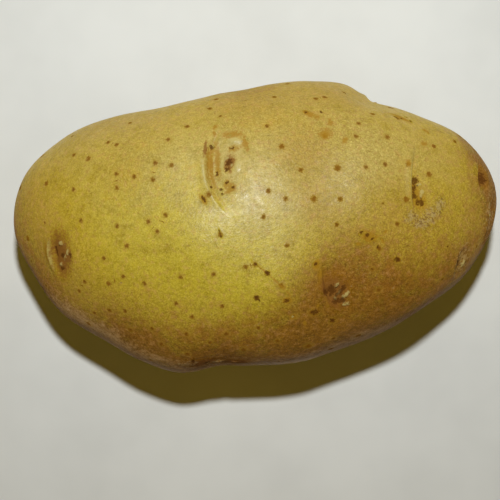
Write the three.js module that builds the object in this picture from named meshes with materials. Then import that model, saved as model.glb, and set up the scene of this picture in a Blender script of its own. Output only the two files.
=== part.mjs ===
// A whole yellow-skinned potato, lying on its flatter side as it would on a table.
// It grew as one piece, so it is one closed solid: the tuber, with its lumps, the eyes sunk into its
// skin under their brows, the buds in them, the scar where it hung from its stolon, and the small
// flat spot it rests on.
// Millimetres, +Z up. The rose end, where the eyes crowd together, is at +X, and the stem end is at -X.

import * as THREE from "three";
import { mergeVertices } from "three/addons/utils/BufferGeometryUtils.js";

// Driving dimensions.
const LENGTH = 112;
const WIDTH = 67;
const HEIGHT = 54;
const SQUARENESS = 2.2; // power of the rounded sections, where 2 is a plain ellipse
const DROOP = 5; // how far both ends sink below the middle

// Plan radii of the widest outline, one every 12 degrees, anticlockwise from the rose end.
const OUTLINE_STEP = 12;
const OUTLINE_RADII = [
  53.9, 54.9, 51.0, 44.3, 38.9, 38.1, 35.5, 32.8, 31.5, 32.2,
  33.4, 36.3, 42.7, 50.4, 56.6, 57.7, 54.1, 50.3, 44.7, 41.8,
  38.7, 32.9, 31.9, 32.0, 32.2, 32.6, 34.7, 38.1, 42.4, 48.4,
];

// Broad lumps and hollows of the flesh. Azimuth runs as in the outline and elevation up from it;
// reach is how far the form spreads along the skin, and height is below zero in a hollow.
const LUMPS = [
  { name: "crown", azimuth: 150, elevation: 74, reach: 17, height: 0.8 },
  { name: "stem shoulder", azimuth: 164, elevation: 28, reach: 14, height: 0.7 },
  { name: "rose shoulder", azimuth: 39, elevation: 42, reach: 9, height: 1.0 },
  { name: "rose cheek", azimuth: 341, elevation: 27, reach: 13, height: 0.8 },
  { name: "valley, back", azimuth: 55, elevation: 14, reach: 7, height: -0.9 },
  { name: "valley, middle", azimuth: 42, elevation: 58, reach: 7, height: -1.0 },
  { name: "valley, front", azimuth: 348, elevation: 62, reach: 8, height: -1.0 },
  { name: "valley, foot", azimuth: 316, elevation: 47, reach: 8, height: -0.9 },
  { name: "front flank", azimuth: 240, elevation: 38, reach: 16, height: 0.6 },
  { name: "under the stem end", azimuth: 190, elevation: -58, reach: 15, height: 0.9 },
  { name: "under the rose end", azimuth: 12, elevation: -40, reach: 15, height: 0.8 },
  { name: "hollow under the back", azimuth: 95, elevation: -40, reach: 12, height: -1.1 },
  { name: "knob under the front", azimuth: 285, elevation: -45, reach: 11, height: 0.8 },
];

// Low waves that keep the skin from being a perfect surface.
const WAVE_COUNT = 9;
const WAVE_HEIGHT = 0.22;
const SHORTEST_WAVE = 13;
const LONGEST_WAVE = 31;

// The eyes. Each is a brow, which is the ridge left by a scale leaf, and a hollow in front of it,
// on the rose side, that holds the buds. Turn swings the whole eye anticlockwise seen from outside.
const EYES = [
  {
    name: "big eye", azimuth: 135, elevation: 56, turn: 7,
    brow: 21, arch: 3.8, lip: 0.45, depth: 1.5, reach: 9, buds: 4, budsAhead: 4.2, budsAside: 0,
  },
  {
    name: "stem eye", azimuth: 187.5, elevation: 18.5, turn: 7,
    brow: 11.5, arch: 1.8, lip: 0.5, depth: 1.2, reach: 7.5, buds: 3, budsAhead: 2.8, budsAside: 0,
  },
  {
    name: "rose eye", azimuth: 17, elevation: 33.5, turn: 2,
    brow: 18, arch: 1.4, lip: 0.45, depth: 1.4, reach: 8, buds: 3, budsAhead: 1.4, budsAside: -2.4,
  },
  {
    name: "front eye", azimuth: 316, elevation: 53, turn: 6,
    brow: 13, arch: 1.0, lip: 0.2, depth: 1.2, reach: 6, buds: 3, budsAhead: 2.6, budsAside: -3,
  },
  {
    name: "rose tip eye, upper", azimuth: 14, elevation: 14, turn: 6,
    brow: 9, arch: 1.6, lip: 0.35, depth: 1.4, reach: 4.5, buds: 1, budsAhead: 1.8, budsAside: -0.8,
  },
  {
    name: "rose tip eye, middle", azimuth: 1.5, elevation: 12, turn: -6,
    brow: 10, arch: 1.6, lip: 0.4, depth: 1.3, reach: 5, buds: 1, budsAhead: 2, budsAside: 1.2,
  },
  {
    name: "rose tip eye, lower", azimuth: 348.5, elevation: 17.5, turn: -10,
    brow: 8.5, arch: 1.8, lip: 0.35, depth: 1.2, reach: 5, buds: 1, budsAhead: 2.6, budsAside: -0.5,
  },
  {
    name: "back notch eye", azimuth: 51, elevation: -1, turn: 0,
    brow: 12, arch: 1.8, lip: 0.3, depth: 0.9, reach: 6.5, buds: 2, budsAhead: 2.4, budsAside: 0,
  },
  {
    name: "back edge eye", azimuth: 112, elevation: -10, turn: 6,
    brow: 11, arch: 1.8, lip: 0.4, depth: 1.1, reach: 6.5, buds: 2, budsAhead: 2.4, budsAside: 0,
  },
  {
    name: "front edge eye", azimuth: 245, elevation: -12, turn: -6,
    brow: 12, arch: 2, lip: 0.35, depth: 1.0, reach: 7, buds: 3, budsAhead: 2.4, budsAside: 0,
  },
  {
    name: "under eye, stem", azimuth: 166, elevation: -38, turn: 6,
    brow: 10, arch: 1.8, lip: 0.4, depth: 1.0, reach: 6, buds: 3, budsAhead: 2.4, budsAside: 0,
  },
  {
    name: "under eye, front", azimuth: 226, elevation: -42, turn: 0,
    brow: 12, arch: 2.2, lip: 0.4, depth: 1.1, reach: 7, buds: 3, budsAhead: 2.4, budsAside: 0,
  },
  {
    name: "under eye, rose", azimuth: 30, elevation: -44, turn: 0,
    brow: 13, arch: 2.4, lip: 0.4, depth: 1.2, reach: 7.5, buds: 3, budsAhead: 2.4, budsAside: 0,
  },
  {
    name: "under eye, tip", azimuth: 350, elevation: -24, turn: 0,
    brow: 9, arch: 1.5, lip: 0.35, depth: 1.0, reach: 5, buds: 2, budsAhead: 2.4, budsAside: 0,
  },
];
const AIM_SHARE = 1.4; // the point all eyes look towards, in half lengths from the middle
const BROW_EDGE = 0.55; // half the width over which the skin drops from the brow into the hollow
const LIP_SET = 0.7; // how far behind the drop the brow is highest
const LIP_SPREAD = 1.1;
const FAR_RIM = 0.4; // height of the hollow's far rim, as a share of the brow's
const FAR_RIM_SPREAD = 1.6;
const EYE_TAPER = 1.5; // power by which an eye fades towards both ends of its brow
const EYE_RECOVER = 1.5; // power by which its hollow comes back to the skin
const EYE_SPAN = 2.5; // reaches ahead and behind within which an eye has effect
const EYE_THICKNESS = 9; // how deep under its own skin it still has effect

// The buds: low domes in the hollow, in a staggered row that follows the brow.
const BUD_RADIUS = 0.95;
const BUD_HEIGHT = 0.5;
const BUD_GAP = 1.9;
const BUD_STAGGER = 1.0; // how much further ahead every second bud stands

// The scar of the stolon, in the stem end: a shallow dimple with the stub standing in it.
const STEM_SCAR = {
  azimuth: 184, elevation: -7, radius: 4.2, depth: 1.4, stubRadius: 1.3, stubHeight: 1.0,
};

// The flat spot underneath, and how softly the skin runs into it.
const FLAT_CUT = 0.65;
const FLAT_BLEND = 0.35;

// Longest edges of the mesh, on open skin and in the eyes.
const SPHERE_DETAIL = 9;
const OPEN_EDGE = 4.4;
const EYE_EDGE = 1.5;
const EYE_MARGIN = 1.15; // radius of the fine mesh, in half brows
const EYE_MESH_SHIFT = 0.33; // how far ahead of the brow it is centred, in half brows
const FRAME_STEP = 0.02; // step on the unit ball by which a normal is measured
const REFINING_ROUNDS = 6;
const MERGE_DISTANCE = 1e-5; // on a ball of radius 1

const SKIN_COLOUR = "#b3913f";
const SKIN_ROUGHNESS = 0.6;

const HALF = new THREE.Vector3(LENGTH / 2, WIDTH / 2, HEIGHT / 2);
const UP = new THREE.Vector3(0, 0, 1);
// Every eye looks towards a point beyond the rose end.
const EYE_AIM = new THREE.Vector3(AIM_SHARE * HALF.x, 0, 0);

// A unit vector from an azimuth and an elevation in degrees.
function direction(azimuth, elevation) {
  const a = THREE.MathUtils.degToRad(azimuth);
  const e = THREE.MathUtils.degToRad(elevation);
  return new THREE.Vector3(Math.cos(e) * Math.cos(a), Math.cos(e) * Math.sin(a), Math.sin(e));
}

// The outline's plan radius at an azimuth, by a smooth curve through the measured radii.
function outlineRadius(azimuth) {
  const n = OUTLINE_RADII.length;
  const place = azimuth / OUTLINE_STEP;
  const i = Math.floor(place);
  const t = place - i;
  const at = (k) => OUTLINE_RADII[(((i + k) % n) + n) % n];
  const slopeIn = (at(1) - at(-1)) / 2;
  const slopeOut = (at(2) - at(0)) / 2;
  return (
    (2 * t ** 3 - 3 * t ** 2 + 1) * at(0) +
    (t ** 3 - 2 * t ** 2 + t) * slopeIn +
    (3 * t ** 2 - 2 * t ** 3) * at(1) +
    (t ** 3 - t ** 2) * slopeOut
  );
}

// The plain body: a rounded ellipsoid whose widest section is drawn out to the measured outline.
function bodyPoint(u) {
  const power = (v) => Math.abs(v) ** SQUARENESS;
  const round = (power(u.x) + power(u.y) + power(u.z)) ** (-1 / SQUARENESS);
  const p = u.clone().multiply(HALF).multiplyScalar(round);
  const angle = Math.atan2(p.y, p.x);
  const plain =
    (power(Math.cos(angle) / HALF.x) + power(Math.sin(angle) / HALF.y)) ** (-1 / SQUARENESS);
  const share = outlineRadius(THREE.MathUtils.radToDeg(angle)) / plain - 1;
  const stretch = 1 + share * (1 - u.z * u.z);
  p.x *= stretch;
  p.y *= stretch;
  p.z -= DROOP * (p.x / HALF.x) ** 2;
  return p;
}

// The outward normal of the plain ellipsoid there, along which lumps rise.
function bodyNormal(u) {
  return u.clone().divide(HALF).normalize();
}

// The direction whose ellipsoid point lies at an azimuth and elevation seen from the middle.
function bodyDirection(azimuth, elevation) {
  return direction(azimuth, elevation).divide(HALF).normalize();
}

const waves = Array.from({ length: WAVE_COUNT }, (_, k) => {
  const share = (k + 0.5) / WAVE_COUNT;
  const height = 1 - 2 * share;
  const turn = k * Math.PI * (3 - Math.sqrt(5));
  const flat = Math.sqrt(1 - height * height);
  const length = LONGEST_WAVE + (SHORTEST_WAVE - LONGEST_WAVE) * share;
  return {
    vector: new THREE.Vector3(flat * Math.cos(turn), flat * Math.sin(turn), height)
      .multiplyScalar((2 * Math.PI) / length),
    phase: k * k,
  };
});

function undulation(p) {
  const sum = waves.reduce((s, w) => s + Math.sin(p.dot(w.vector) + w.phase), 0);
  return (WAVE_HEIGHT * sum) / Math.sqrt(WAVE_COUNT / 2);
}

const lumps = LUMPS.map((lump) => ({
  ...lump,
  centre: bodyPoint(bodyDirection(lump.azimuth, lump.elevation)),
}));

// The flesh's surface, before eyes and scars.
function fleshPoint(u) {
  const p = bodyPoint(u);
  const rise = lumps.reduce(
    (sum, lump) => sum + lump.height * Math.exp(-p.distanceToSquared(lump.centre) / lump.reach ** 2),
    undulation(p),
  );
  return p.addScaledVector(bodyNormal(u), rise);
}

// A frame on the skin: its centre, its normal, and the way along the skin towards the rose end.
function skinFrame(azimuth, elevation, turn) {
  const u = bodyDirection(azimuth, elevation);
  const centre = fleshPoint(u);
  const side = new THREE.Vector3().crossVectors(UP, u).normalize();
  const over = new THREE.Vector3().crossVectors(u, side);
  const beside = (way) => fleshPoint(u.clone().addScaledVector(way, FRAME_STEP).normalize());
  const east = beside(side).sub(centre);
  const north = beside(over).sub(centre);
  const normal = new THREE.Vector3().crossVectors(east, north).normalize();
  const forward = EYE_AIM.clone().sub(centre).projectOnPlane(normal).normalize();
  forward.applyAxisAngle(normal, THREE.MathUtils.degToRad(turn));
  const across = new THREE.Vector3().crossVectors(normal, forward);
  return { centre, normal, forward, across };
}

// Where a point lies in a frame: ahead towards the rose end, sideways, and out of the skin.
function inFrame(frame, p) {
  const d = p.clone().sub(frame.centre);
  return { ahead: d.dot(frame.forward), aside: d.dot(frame.across), out: d.dot(frame.normal) };
}

const dome = (distance, radius) => Math.max(0, 1 - (distance / radius) ** 2) ** 2;

// How far an eye moves the skin out at a place in its frame.
function eyeRise(eye, { ahead, aside, out }) {
  const share = aside / (eye.brow / 2);
  const far = Math.abs(ahead) > EYE_SPAN * eye.reach || Math.abs(out) > EYE_THICKNESS;
  if (far || Math.abs(share) >= 1) return 0;
  const inFront = ahead - eye.arch * share * share;
  const taper = (1 - share * share) ** EYE_TAPER;
  const lip = eye.lip * Math.exp(-(((inFront + LIP_SET) / LIP_SPREAD) ** 2));
  const sink = THREE.MathUtils.smoothstep(inFront, -BROW_EDGE, BROW_EDGE);
  const recover = Math.max(0, 1 - Math.max(0, inFront) / eye.reach) ** EYE_RECOVER;
  const rim = FAR_RIM * eye.lip * Math.exp(-(((inFront - eye.reach) / FAR_RIM_SPREAD) ** 2));
  let rise = taper * (lip + rim - eye.depth * sink * recover);
  for (let i = 0; i < eye.buds; i++) {
    const beside = eye.budsAside + (i - (eye.buds - 1) / 2) * BUD_GAP;
    const before = eye.budsAhead + BUD_STAGGER * (i % 2);
    const away = Math.hypot(aside - beside, inFront - before);
    rise += BUD_HEIGHT * dome(away, BUD_RADIUS);
  }
  return rise;
}

const eyes = EYES.map((eye) => ({ ...eye, frame: skinFrame(eye.azimuth, eye.elevation, eye.turn) }));
const stemFrame = skinFrame(STEM_SCAR.azimuth, STEM_SCAR.elevation, 0);

// The finished skin, but for the flat spot.
function skinPoint(u) {
  const p = fleshPoint(u);
  const start = p.clone();
  for (const eye of eyes) {
    p.addScaledVector(eye.frame.normal, eyeRise(eye, inFrame(eye.frame, start)));
  }
  const scar = inFrame(stemFrame, start);
  const away = Math.hypot(scar.ahead, scar.aside);
  if (Math.abs(scar.out) < EYE_THICKNESS) {
    p.addScaledVector(stemFrame.normal, -STEM_SCAR.depth * dome(away, STEM_SCAR.radius));
    p.addScaledVector(stemFrame.normal, STEM_SCAR.stubHeight * dome(away, STEM_SCAR.stubRadius));
  }
  return p;
}

// Heights below the cut are drawn up to it, and those just over it run into it smoothly.
function flattened(height, cut) {
  const over = height - cut;
  if (over >= FLAT_BLEND) return height;
  if (over <= -FLAT_BLEND) return cut;
  return cut + (over + FLAT_BLEND) ** 2 / (4 * FLAT_BLEND);
}

// The longest edge that the mesh may have at a point.
function edgeLimit(p) {
  const fine = [...eyes.map((eye) => [eye.frame, eye.brow / 2]), [stemFrame, STEM_SCAR.radius]].some(
    ([frame, size]) => {
      const { ahead, aside, out } = inFrame(frame, p);
      const near = Math.hypot(ahead - EYE_MESH_SHIFT * size, aside) < EYE_MARGIN * size;
      return near && Math.abs(out) < EYE_THICKNESS;
    },
  );
  return fine ? EYE_EDGE : OPEN_EDGE;
}

// Splits every edge that is longer than its place allows, and cuts the triangles to match.
function refine(mesh) {
  const middles = new Map();
  const middle = (a, b) => {
    const key = a < b ? `${a},${b}` : `${b},${a}`;
    if (!middles.has(key)) {
      const pa = mesh.points[a];
      const pb = mesh.points[b];
      const half = pa.clone().add(pb).multiplyScalar(0.5);
      if (pa.distanceTo(pb) > edgeLimit(half)) {
        const u = mesh.directions[a].clone().add(mesh.directions[b]).normalize();
        middles.set(key, mesh.directions.push(u) - 1);
        mesh.points.push(skinPoint(u));
      } else {
        middles.set(key, -1);
      }
    }
    return middles.get(key);
  };
  const made = [];
  for (const [a, b, c] of mesh.triangles) {
    const [ab, bc, ca] = [middle(a, b), middle(b, c), middle(c, a)];
    made.push(...cutTriangle([a, b, c], [ab, bc, ca], mesh.points));
  }
  const grew = made.length > mesh.triangles.length;
  mesh.triangles = made;
  return grew;
}

// A triangle's pieces, where some of its edges have a middle point and the others have -1.
function cutTriangle(corners, middles, points) {
  const count = middles.filter((m) => m >= 0).length;
  if (count === 0) return [corners];
  const [a, b, c] = corners;
  const [ab, bc, ca] = middles;
  if (count === 3) return [[a, ab, ca], [ab, b, bc], [ca, bc, c], [ab, bc, ca]];
  // Turned so that a single split lies on the first edge, and a missing one on the last.
  const turned = count === 1 ? ab < 0 : ca >= 0;
  if (turned) return cutTriangle([b, c, a], [bc, ca, ab], points);
  if (count === 1) return [[a, ab, c], [ab, b, c]];
  const short = points[a].distanceTo(points[bc]) < points[ab].distanceTo(points[c]);
  const rest = short ? [[a, ab, bc], [a, bc, c]] : [[a, ab, c], [ab, bc, c]];
  return [[ab, b, bc], ...rest];
}

// The whole skin as a closed mesh, fine in the eyes and coarser between them.
function tuberGeometry() {
  const sphere = new THREE.IcosahedronGeometry(1, SPHERE_DETAIL);
  sphere.deleteAttribute("normal");
  sphere.deleteAttribute("uv");
  const ball = mergeVertices(sphere, MERGE_DISTANCE);
  const place = ball.getAttribute("position");
  const directions = Array.from({ length: place.count }, (_, i) =>
    new THREE.Vector3().fromBufferAttribute(place, i).normalize());
  const index = Array.from(ball.index.array);
  const triangles = Array.from({ length: index.length / 3 }, (_, i) => index.slice(3 * i, 3 * i + 3));
  const mesh = { directions, points: directions.map(skinPoint), triangles };
  for (let round = 0; round < REFINING_ROUNDS; round++) {
    if (!refine(mesh)) break;
  }

  const lowest = Math.min(...mesh.points.map((p) => p.z));
  const cut = lowest + FLAT_CUT;
  for (const p of mesh.points) p.z = flattened(p.z, cut) - cut;
  const box = new THREE.Box3().setFromPoints(mesh.points);
  const middle = box.getCenter(new THREE.Vector3());

  const geometry = new THREE.BufferGeometry().setFromPoints(mesh.points);
  geometry.setIndex(mesh.triangles.flat());
  geometry.translate(-middle.x, -middle.y, 0);
  geometry.computeVertexNormals();
  return geometry;
}

const tuber = new THREE.Mesh(
  tuberGeometry(),
  new THREE.MeshStandardMaterial({ color: SKIN_COLOUR, roughness: SKIN_ROUGHNESS, metalness: 0 }),
);
tuber.name = "tuber";

const potato = new THREE.Group();
potato.add(tuber);

export default potato;
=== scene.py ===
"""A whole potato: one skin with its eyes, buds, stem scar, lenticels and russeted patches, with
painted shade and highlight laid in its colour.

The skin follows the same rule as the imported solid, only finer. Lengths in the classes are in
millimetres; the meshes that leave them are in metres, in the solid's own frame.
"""

from __future__ import annotations

import logging
import math
from dataclasses import dataclass, field
from enum import Enum
from typing import NamedTuple

import bmesh
import bpy
import numpy as np
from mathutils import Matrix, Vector


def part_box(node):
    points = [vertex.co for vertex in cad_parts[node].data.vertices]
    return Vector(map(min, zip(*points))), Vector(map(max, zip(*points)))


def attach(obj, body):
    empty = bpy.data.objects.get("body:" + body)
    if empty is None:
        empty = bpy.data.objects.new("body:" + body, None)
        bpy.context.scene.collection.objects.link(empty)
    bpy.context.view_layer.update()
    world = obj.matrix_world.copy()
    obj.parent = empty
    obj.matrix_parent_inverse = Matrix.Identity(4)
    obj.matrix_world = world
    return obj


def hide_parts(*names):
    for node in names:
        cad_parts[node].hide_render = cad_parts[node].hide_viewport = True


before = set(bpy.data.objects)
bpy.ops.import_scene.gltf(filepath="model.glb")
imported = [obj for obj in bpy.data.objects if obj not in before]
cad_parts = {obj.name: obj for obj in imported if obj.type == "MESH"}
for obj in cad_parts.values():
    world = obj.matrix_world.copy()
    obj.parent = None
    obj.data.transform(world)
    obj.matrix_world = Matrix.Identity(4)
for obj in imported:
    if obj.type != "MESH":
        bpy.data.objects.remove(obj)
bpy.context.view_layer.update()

LOG = logging.getLogger("potato")
NODE = "tuber"
MM = 0.001
SQUARE_CM = 1e4  # in a square metre
Values = np.ndarray  # one number per point
Points = np.ndarray  # three numbers per point
Span = tuple[float, float]  # where a change starts and where it has ended


# Small sums used by every form


def unit(vectors: Points) -> Points:
    """Returns the vectors at length one."""
    return vectors / np.linalg.norm(vectors, axis=-1, keepdims=True)


def direction(azimuth: float, elevation: float) -> Points:
    """Returns the unit vector of an azimuth and an elevation in degrees."""
    a, e = math.radians(azimuth), math.radians(elevation)
    return np.array([math.cos(e) * math.cos(a), math.cos(e) * math.sin(a), math.sin(e)])


def smooth_step(values: Values, low: float, high: float) -> Values:
    """Returns 0 below low, 1 above high, and a smooth rise between."""
    t = np.clip((values - low) / (high - low), 0.0, 1.0)
    return t * t * (3.0 - 2.0 * t)


def bell(values: Values, centre: float, spread: float) -> Values:
    """Returns a bell curve of height one round a centre."""
    return np.exp(-(((values - centre) / spread) ** 2))


def dome(distance: Values, radius: float) -> Values:
    """Returns a rounded dome of height one that ends at a radius."""
    return np.clip(1.0 - (distance / radius) ** 2, 0.0, None) ** 2


# The tuber's form


@dataclass(frozen=True)
class Lump:
    """A broad swelling of the flesh, or a hollow where its height is below zero."""

    azimuth: float
    elevation: float
    reach: float
    height: float


@dataclass(frozen=True)
class SkinFrame:
    """A flat set of axes on the skin: ahead towards the rose end, aside, and out."""

    centre: Points
    out: Points
    ahead: Points
    aside: Points

    def local(self, points: Points) -> tuple[Values, Values, Values]:
        """Returns how far ahead, aside and out of the frame each point lies."""
        away = points - self.centre
        return away @ self.ahead, away @ self.aside, away @ self.out


@dataclass
class Flesh:
    """The tuber's body: a rounded ellipsoid drawn out to a measured outline, with lumps."""

    length: float = 112.0
    width: float = 67.0
    height: float = 54.0
    squareness: float = 2.2
    droop: float = 5.0
    aim_share: float = 1.4
    frame_step: float = 0.02
    outline: tuple[float, ...] = (
        53.9, 54.9, 51.0, 44.3, 38.9, 38.1, 35.5, 32.8, 31.5, 32.2,
        33.4, 36.3, 42.7, 50.4, 56.6, 57.7, 54.1, 50.3, 44.7, 41.8,
        38.7, 32.9, 31.9, 32.0, 32.2, 32.6, 34.7, 38.1, 42.4, 48.4,
    )
    lumps: tuple[Lump, ...] = (
        Lump(150, 74, 17, 0.8),  # crown
        Lump(164, 28, 14, 0.7),  # stem shoulder
        Lump(39, 42, 9, 1.0),  # rose shoulder
        Lump(341, 27, 13, 0.8),  # rose cheek
        Lump(55, 14, 7, -0.9),  # valley, back
        Lump(42, 58, 7, -1.0),  # valley, middle
        Lump(348, 62, 8, -1.0),  # valley, front
        Lump(316, 47, 8, -0.9),  # valley, foot
        Lump(240, 38, 16, 0.6),  # front flank
        Lump(190, -58, 15, 0.9),  # under the stem end
        Lump(12, -40, 15, 0.8),  # under the rose end
        Lump(95, -40, 12, -1.1),  # hollow under the back
        Lump(285, -45, 11, 0.8),  # knob under the front
    )
    wave_count: int = 9
    wave_height: float = 0.22
    shortest_wave: float = 13.0
    longest_wave: float = 31.0

    @property
    def half(self) -> Points:
        """Returns the half length, half width and half height."""
        return np.array([self.length, self.width, self.height]) / 2

    def outline_radius(self, azimuth: Values) -> Values:
        """Draws a smooth curve through the measured radii.

        Args:
            azimuth: Angles in degrees, anticlockwise from the rose end.

        Returns:
            The plan radius at each angle.
        """
        radii = np.array(self.outline)
        count = len(radii)
        place = azimuth * count / 360.0
        first = np.floor(place).astype(int)
        t = place - first
        before, start, end, after = (radii[(first + k) % count] for k in (-1, 0, 1, 2))
        slope_in = (end - before) / 2
        slope_out = (after - start) / 2
        return (
            (2 * t**3 - 3 * t**2 + 1) * start
            + (t**3 - 2 * t**2 + t) * slope_in
            + (3 * t**2 - 2 * t**3) * end
            + (t**3 - t**2) * slope_out
        )

    def body(self, ways: Points) -> Points:
        """Returns the plain body's points, one for each unit direction."""
        power = self.squareness
        half = self.half
        points = ways * half * ((np.abs(ways) ** power).sum(-1, keepdims=True) ** (-1 / power))
        angle = np.arctan2(points[..., 1], points[..., 0])
        along = np.abs(np.cos(angle) / half[0]) ** power
        across = np.abs(np.sin(angle) / half[1]) ** power
        plain = (along + across) ** (-1 / power)
        share = self.outline_radius(np.degrees(angle)) / plain - 1
        stretch = 1 + share * (1 - ways[..., 2] ** 2)
        points[..., 0] *= stretch
        points[..., 1] *= stretch
        points[..., 2] -= self.droop * (points[..., 0] / half[0]) ** 2
        return points

    def body_way(self, azimuth: float, elevation: float) -> Points:
        """Returns the unit direction whose body point lies at an azimuth and elevation."""
        return unit(direction(azimuth, elevation) / self.half)

    def undulation(self, points: Points) -> Values:
        """Returns the sum of the low waves that keep the skin from being perfect."""
        count = np.arange(self.wave_count)
        share = (count + 0.5) / self.wave_count
        rise = 1 - 2 * share
        turn = count * math.pi * (3 - math.sqrt(5))
        flat = np.sqrt(1 - rise * rise)
        length = self.longest_wave + (self.shortest_wave - self.longest_wave) * share
        waves = np.stack([flat * np.cos(turn), flat * np.sin(turn), rise])
        total = np.sin(points @ (waves * 2 * math.pi / length) + count**2).sum(-1)
        return self.wave_height * total / math.sqrt(self.wave_count / 2)

    def point(self, ways: Points) -> Points:
        """Returns the flesh's points, lumps and waves included, one for each direction."""
        points = self.body(ways)
        rise = self.undulation(points)
        for lump in self.lumps:
            centre = self.body(self.body_way(lump.azimuth, lump.elevation))
            away = np.linalg.norm(points - centre, axis=-1)
            rise = rise + lump.height * bell(away, 0, lump.reach)
        return points + unit(ways / self.half) * rise[..., None]

    def frame_at(self, azimuth: float, elevation: float, turn: float = 0.0) -> SkinFrame:
        """Sets axes on the skin.

        Args:
            azimuth: Where the frame is, anticlockwise from the rose end, in degrees.
            elevation: How far it is above the middle, in degrees.
            turn: How far its ahead axis is swung from the rose end, anticlockwise.

        Returns:
            The frame, with its centre on the flesh.
        """
        way = self.body_way(azimuth, elevation)
        centre = self.point(way)
        side = unit(np.cross([0.0, 0.0, 1.0], way))
        over = np.cross(way, side)
        east = self.point(unit(way + side * self.frame_step)) - centre
        north = self.point(unit(way + over * self.frame_step)) - centre
        out = unit(np.cross(east, north))
        aim = np.array([self.aim_share * self.half[0], 0.0, 0.0]) - centre
        level = unit(aim - out * (aim @ out))
        swing = math.radians(turn)
        ahead = level * math.cos(swing) + np.cross(out, level) * math.sin(swing)
        return SkinFrame(centre, out, ahead, np.cross(out, ahead))


class Mark(Enum):
    """What a small mark in an eye is, by the name of the layer that colours it."""

    SCAR = "scar"  # dark cork of a bud that died
    STAIN = "stain"  # soft orange-brown stain, and painted shade along some eyes' creases
    FLAKE = "flake"  # pale scale or bud
    SCUFF = "scuff"  # rough greyish cork
    BRUISE = "bruise"  # purple-brown edge, and painted shade in some eyes' creases and hollows
    PALE = "pale"  # pale smooth skin


FULL_COVER = 0.05  # how far from a mark's middle its colour is full, as a share of its size
NO_COVER = 0.95  # where its colour has ended
MARK_DOME = 0.65  # where its rise has ended
OUTSIDE = 9.0  # a distance that is well outside any mark


@dataclass(frozen=True)
class EyeMark:
    """A small form in an eye or on the open skin, placed ahead and aside of the middle."""

    kind: Mark
    ahead: float
    aside: float
    length: float
    width: float
    turn: float = 90.0
    height: float = 0.0

    def away(self, ahead: Values, aside: Values) -> Values:
        """Returns how far each place is from the mark's middle, as a share of its size."""
        angle = math.radians(self.turn)
        x, y = ahead - self.ahead, aside - self.aside
        along = x * math.cos(angle) + y * math.sin(angle)
        across = y * math.cos(angle) - x * math.sin(angle)
        return np.hypot(along / self.length, across / self.width)

    def lay(self, layers: dict[str, Values], ahead: Values, aside: Values, near: Values) -> None:
        """Adds the mark to the relief and to its own colour layer.

        Args:
            layers: The rise and the covers so far, by name.
            ahead: How far each place is ahead of the form's middle.
            aside: How far it is to the side.
            near: Whether it is near enough to bear the mark.
        """
        away = np.where(near, self.away(ahead, aside), OUTSIDE)
        cover = 1 - smooth_step(away, FULL_COVER, NO_COVER)
        layers["rise"] = layers["rise"] + self.height * dome(away, MARK_DOME)
        layers[self.kind.value] = np.maximum(layers.get(self.kind.value, 0.0), cover)


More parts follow.
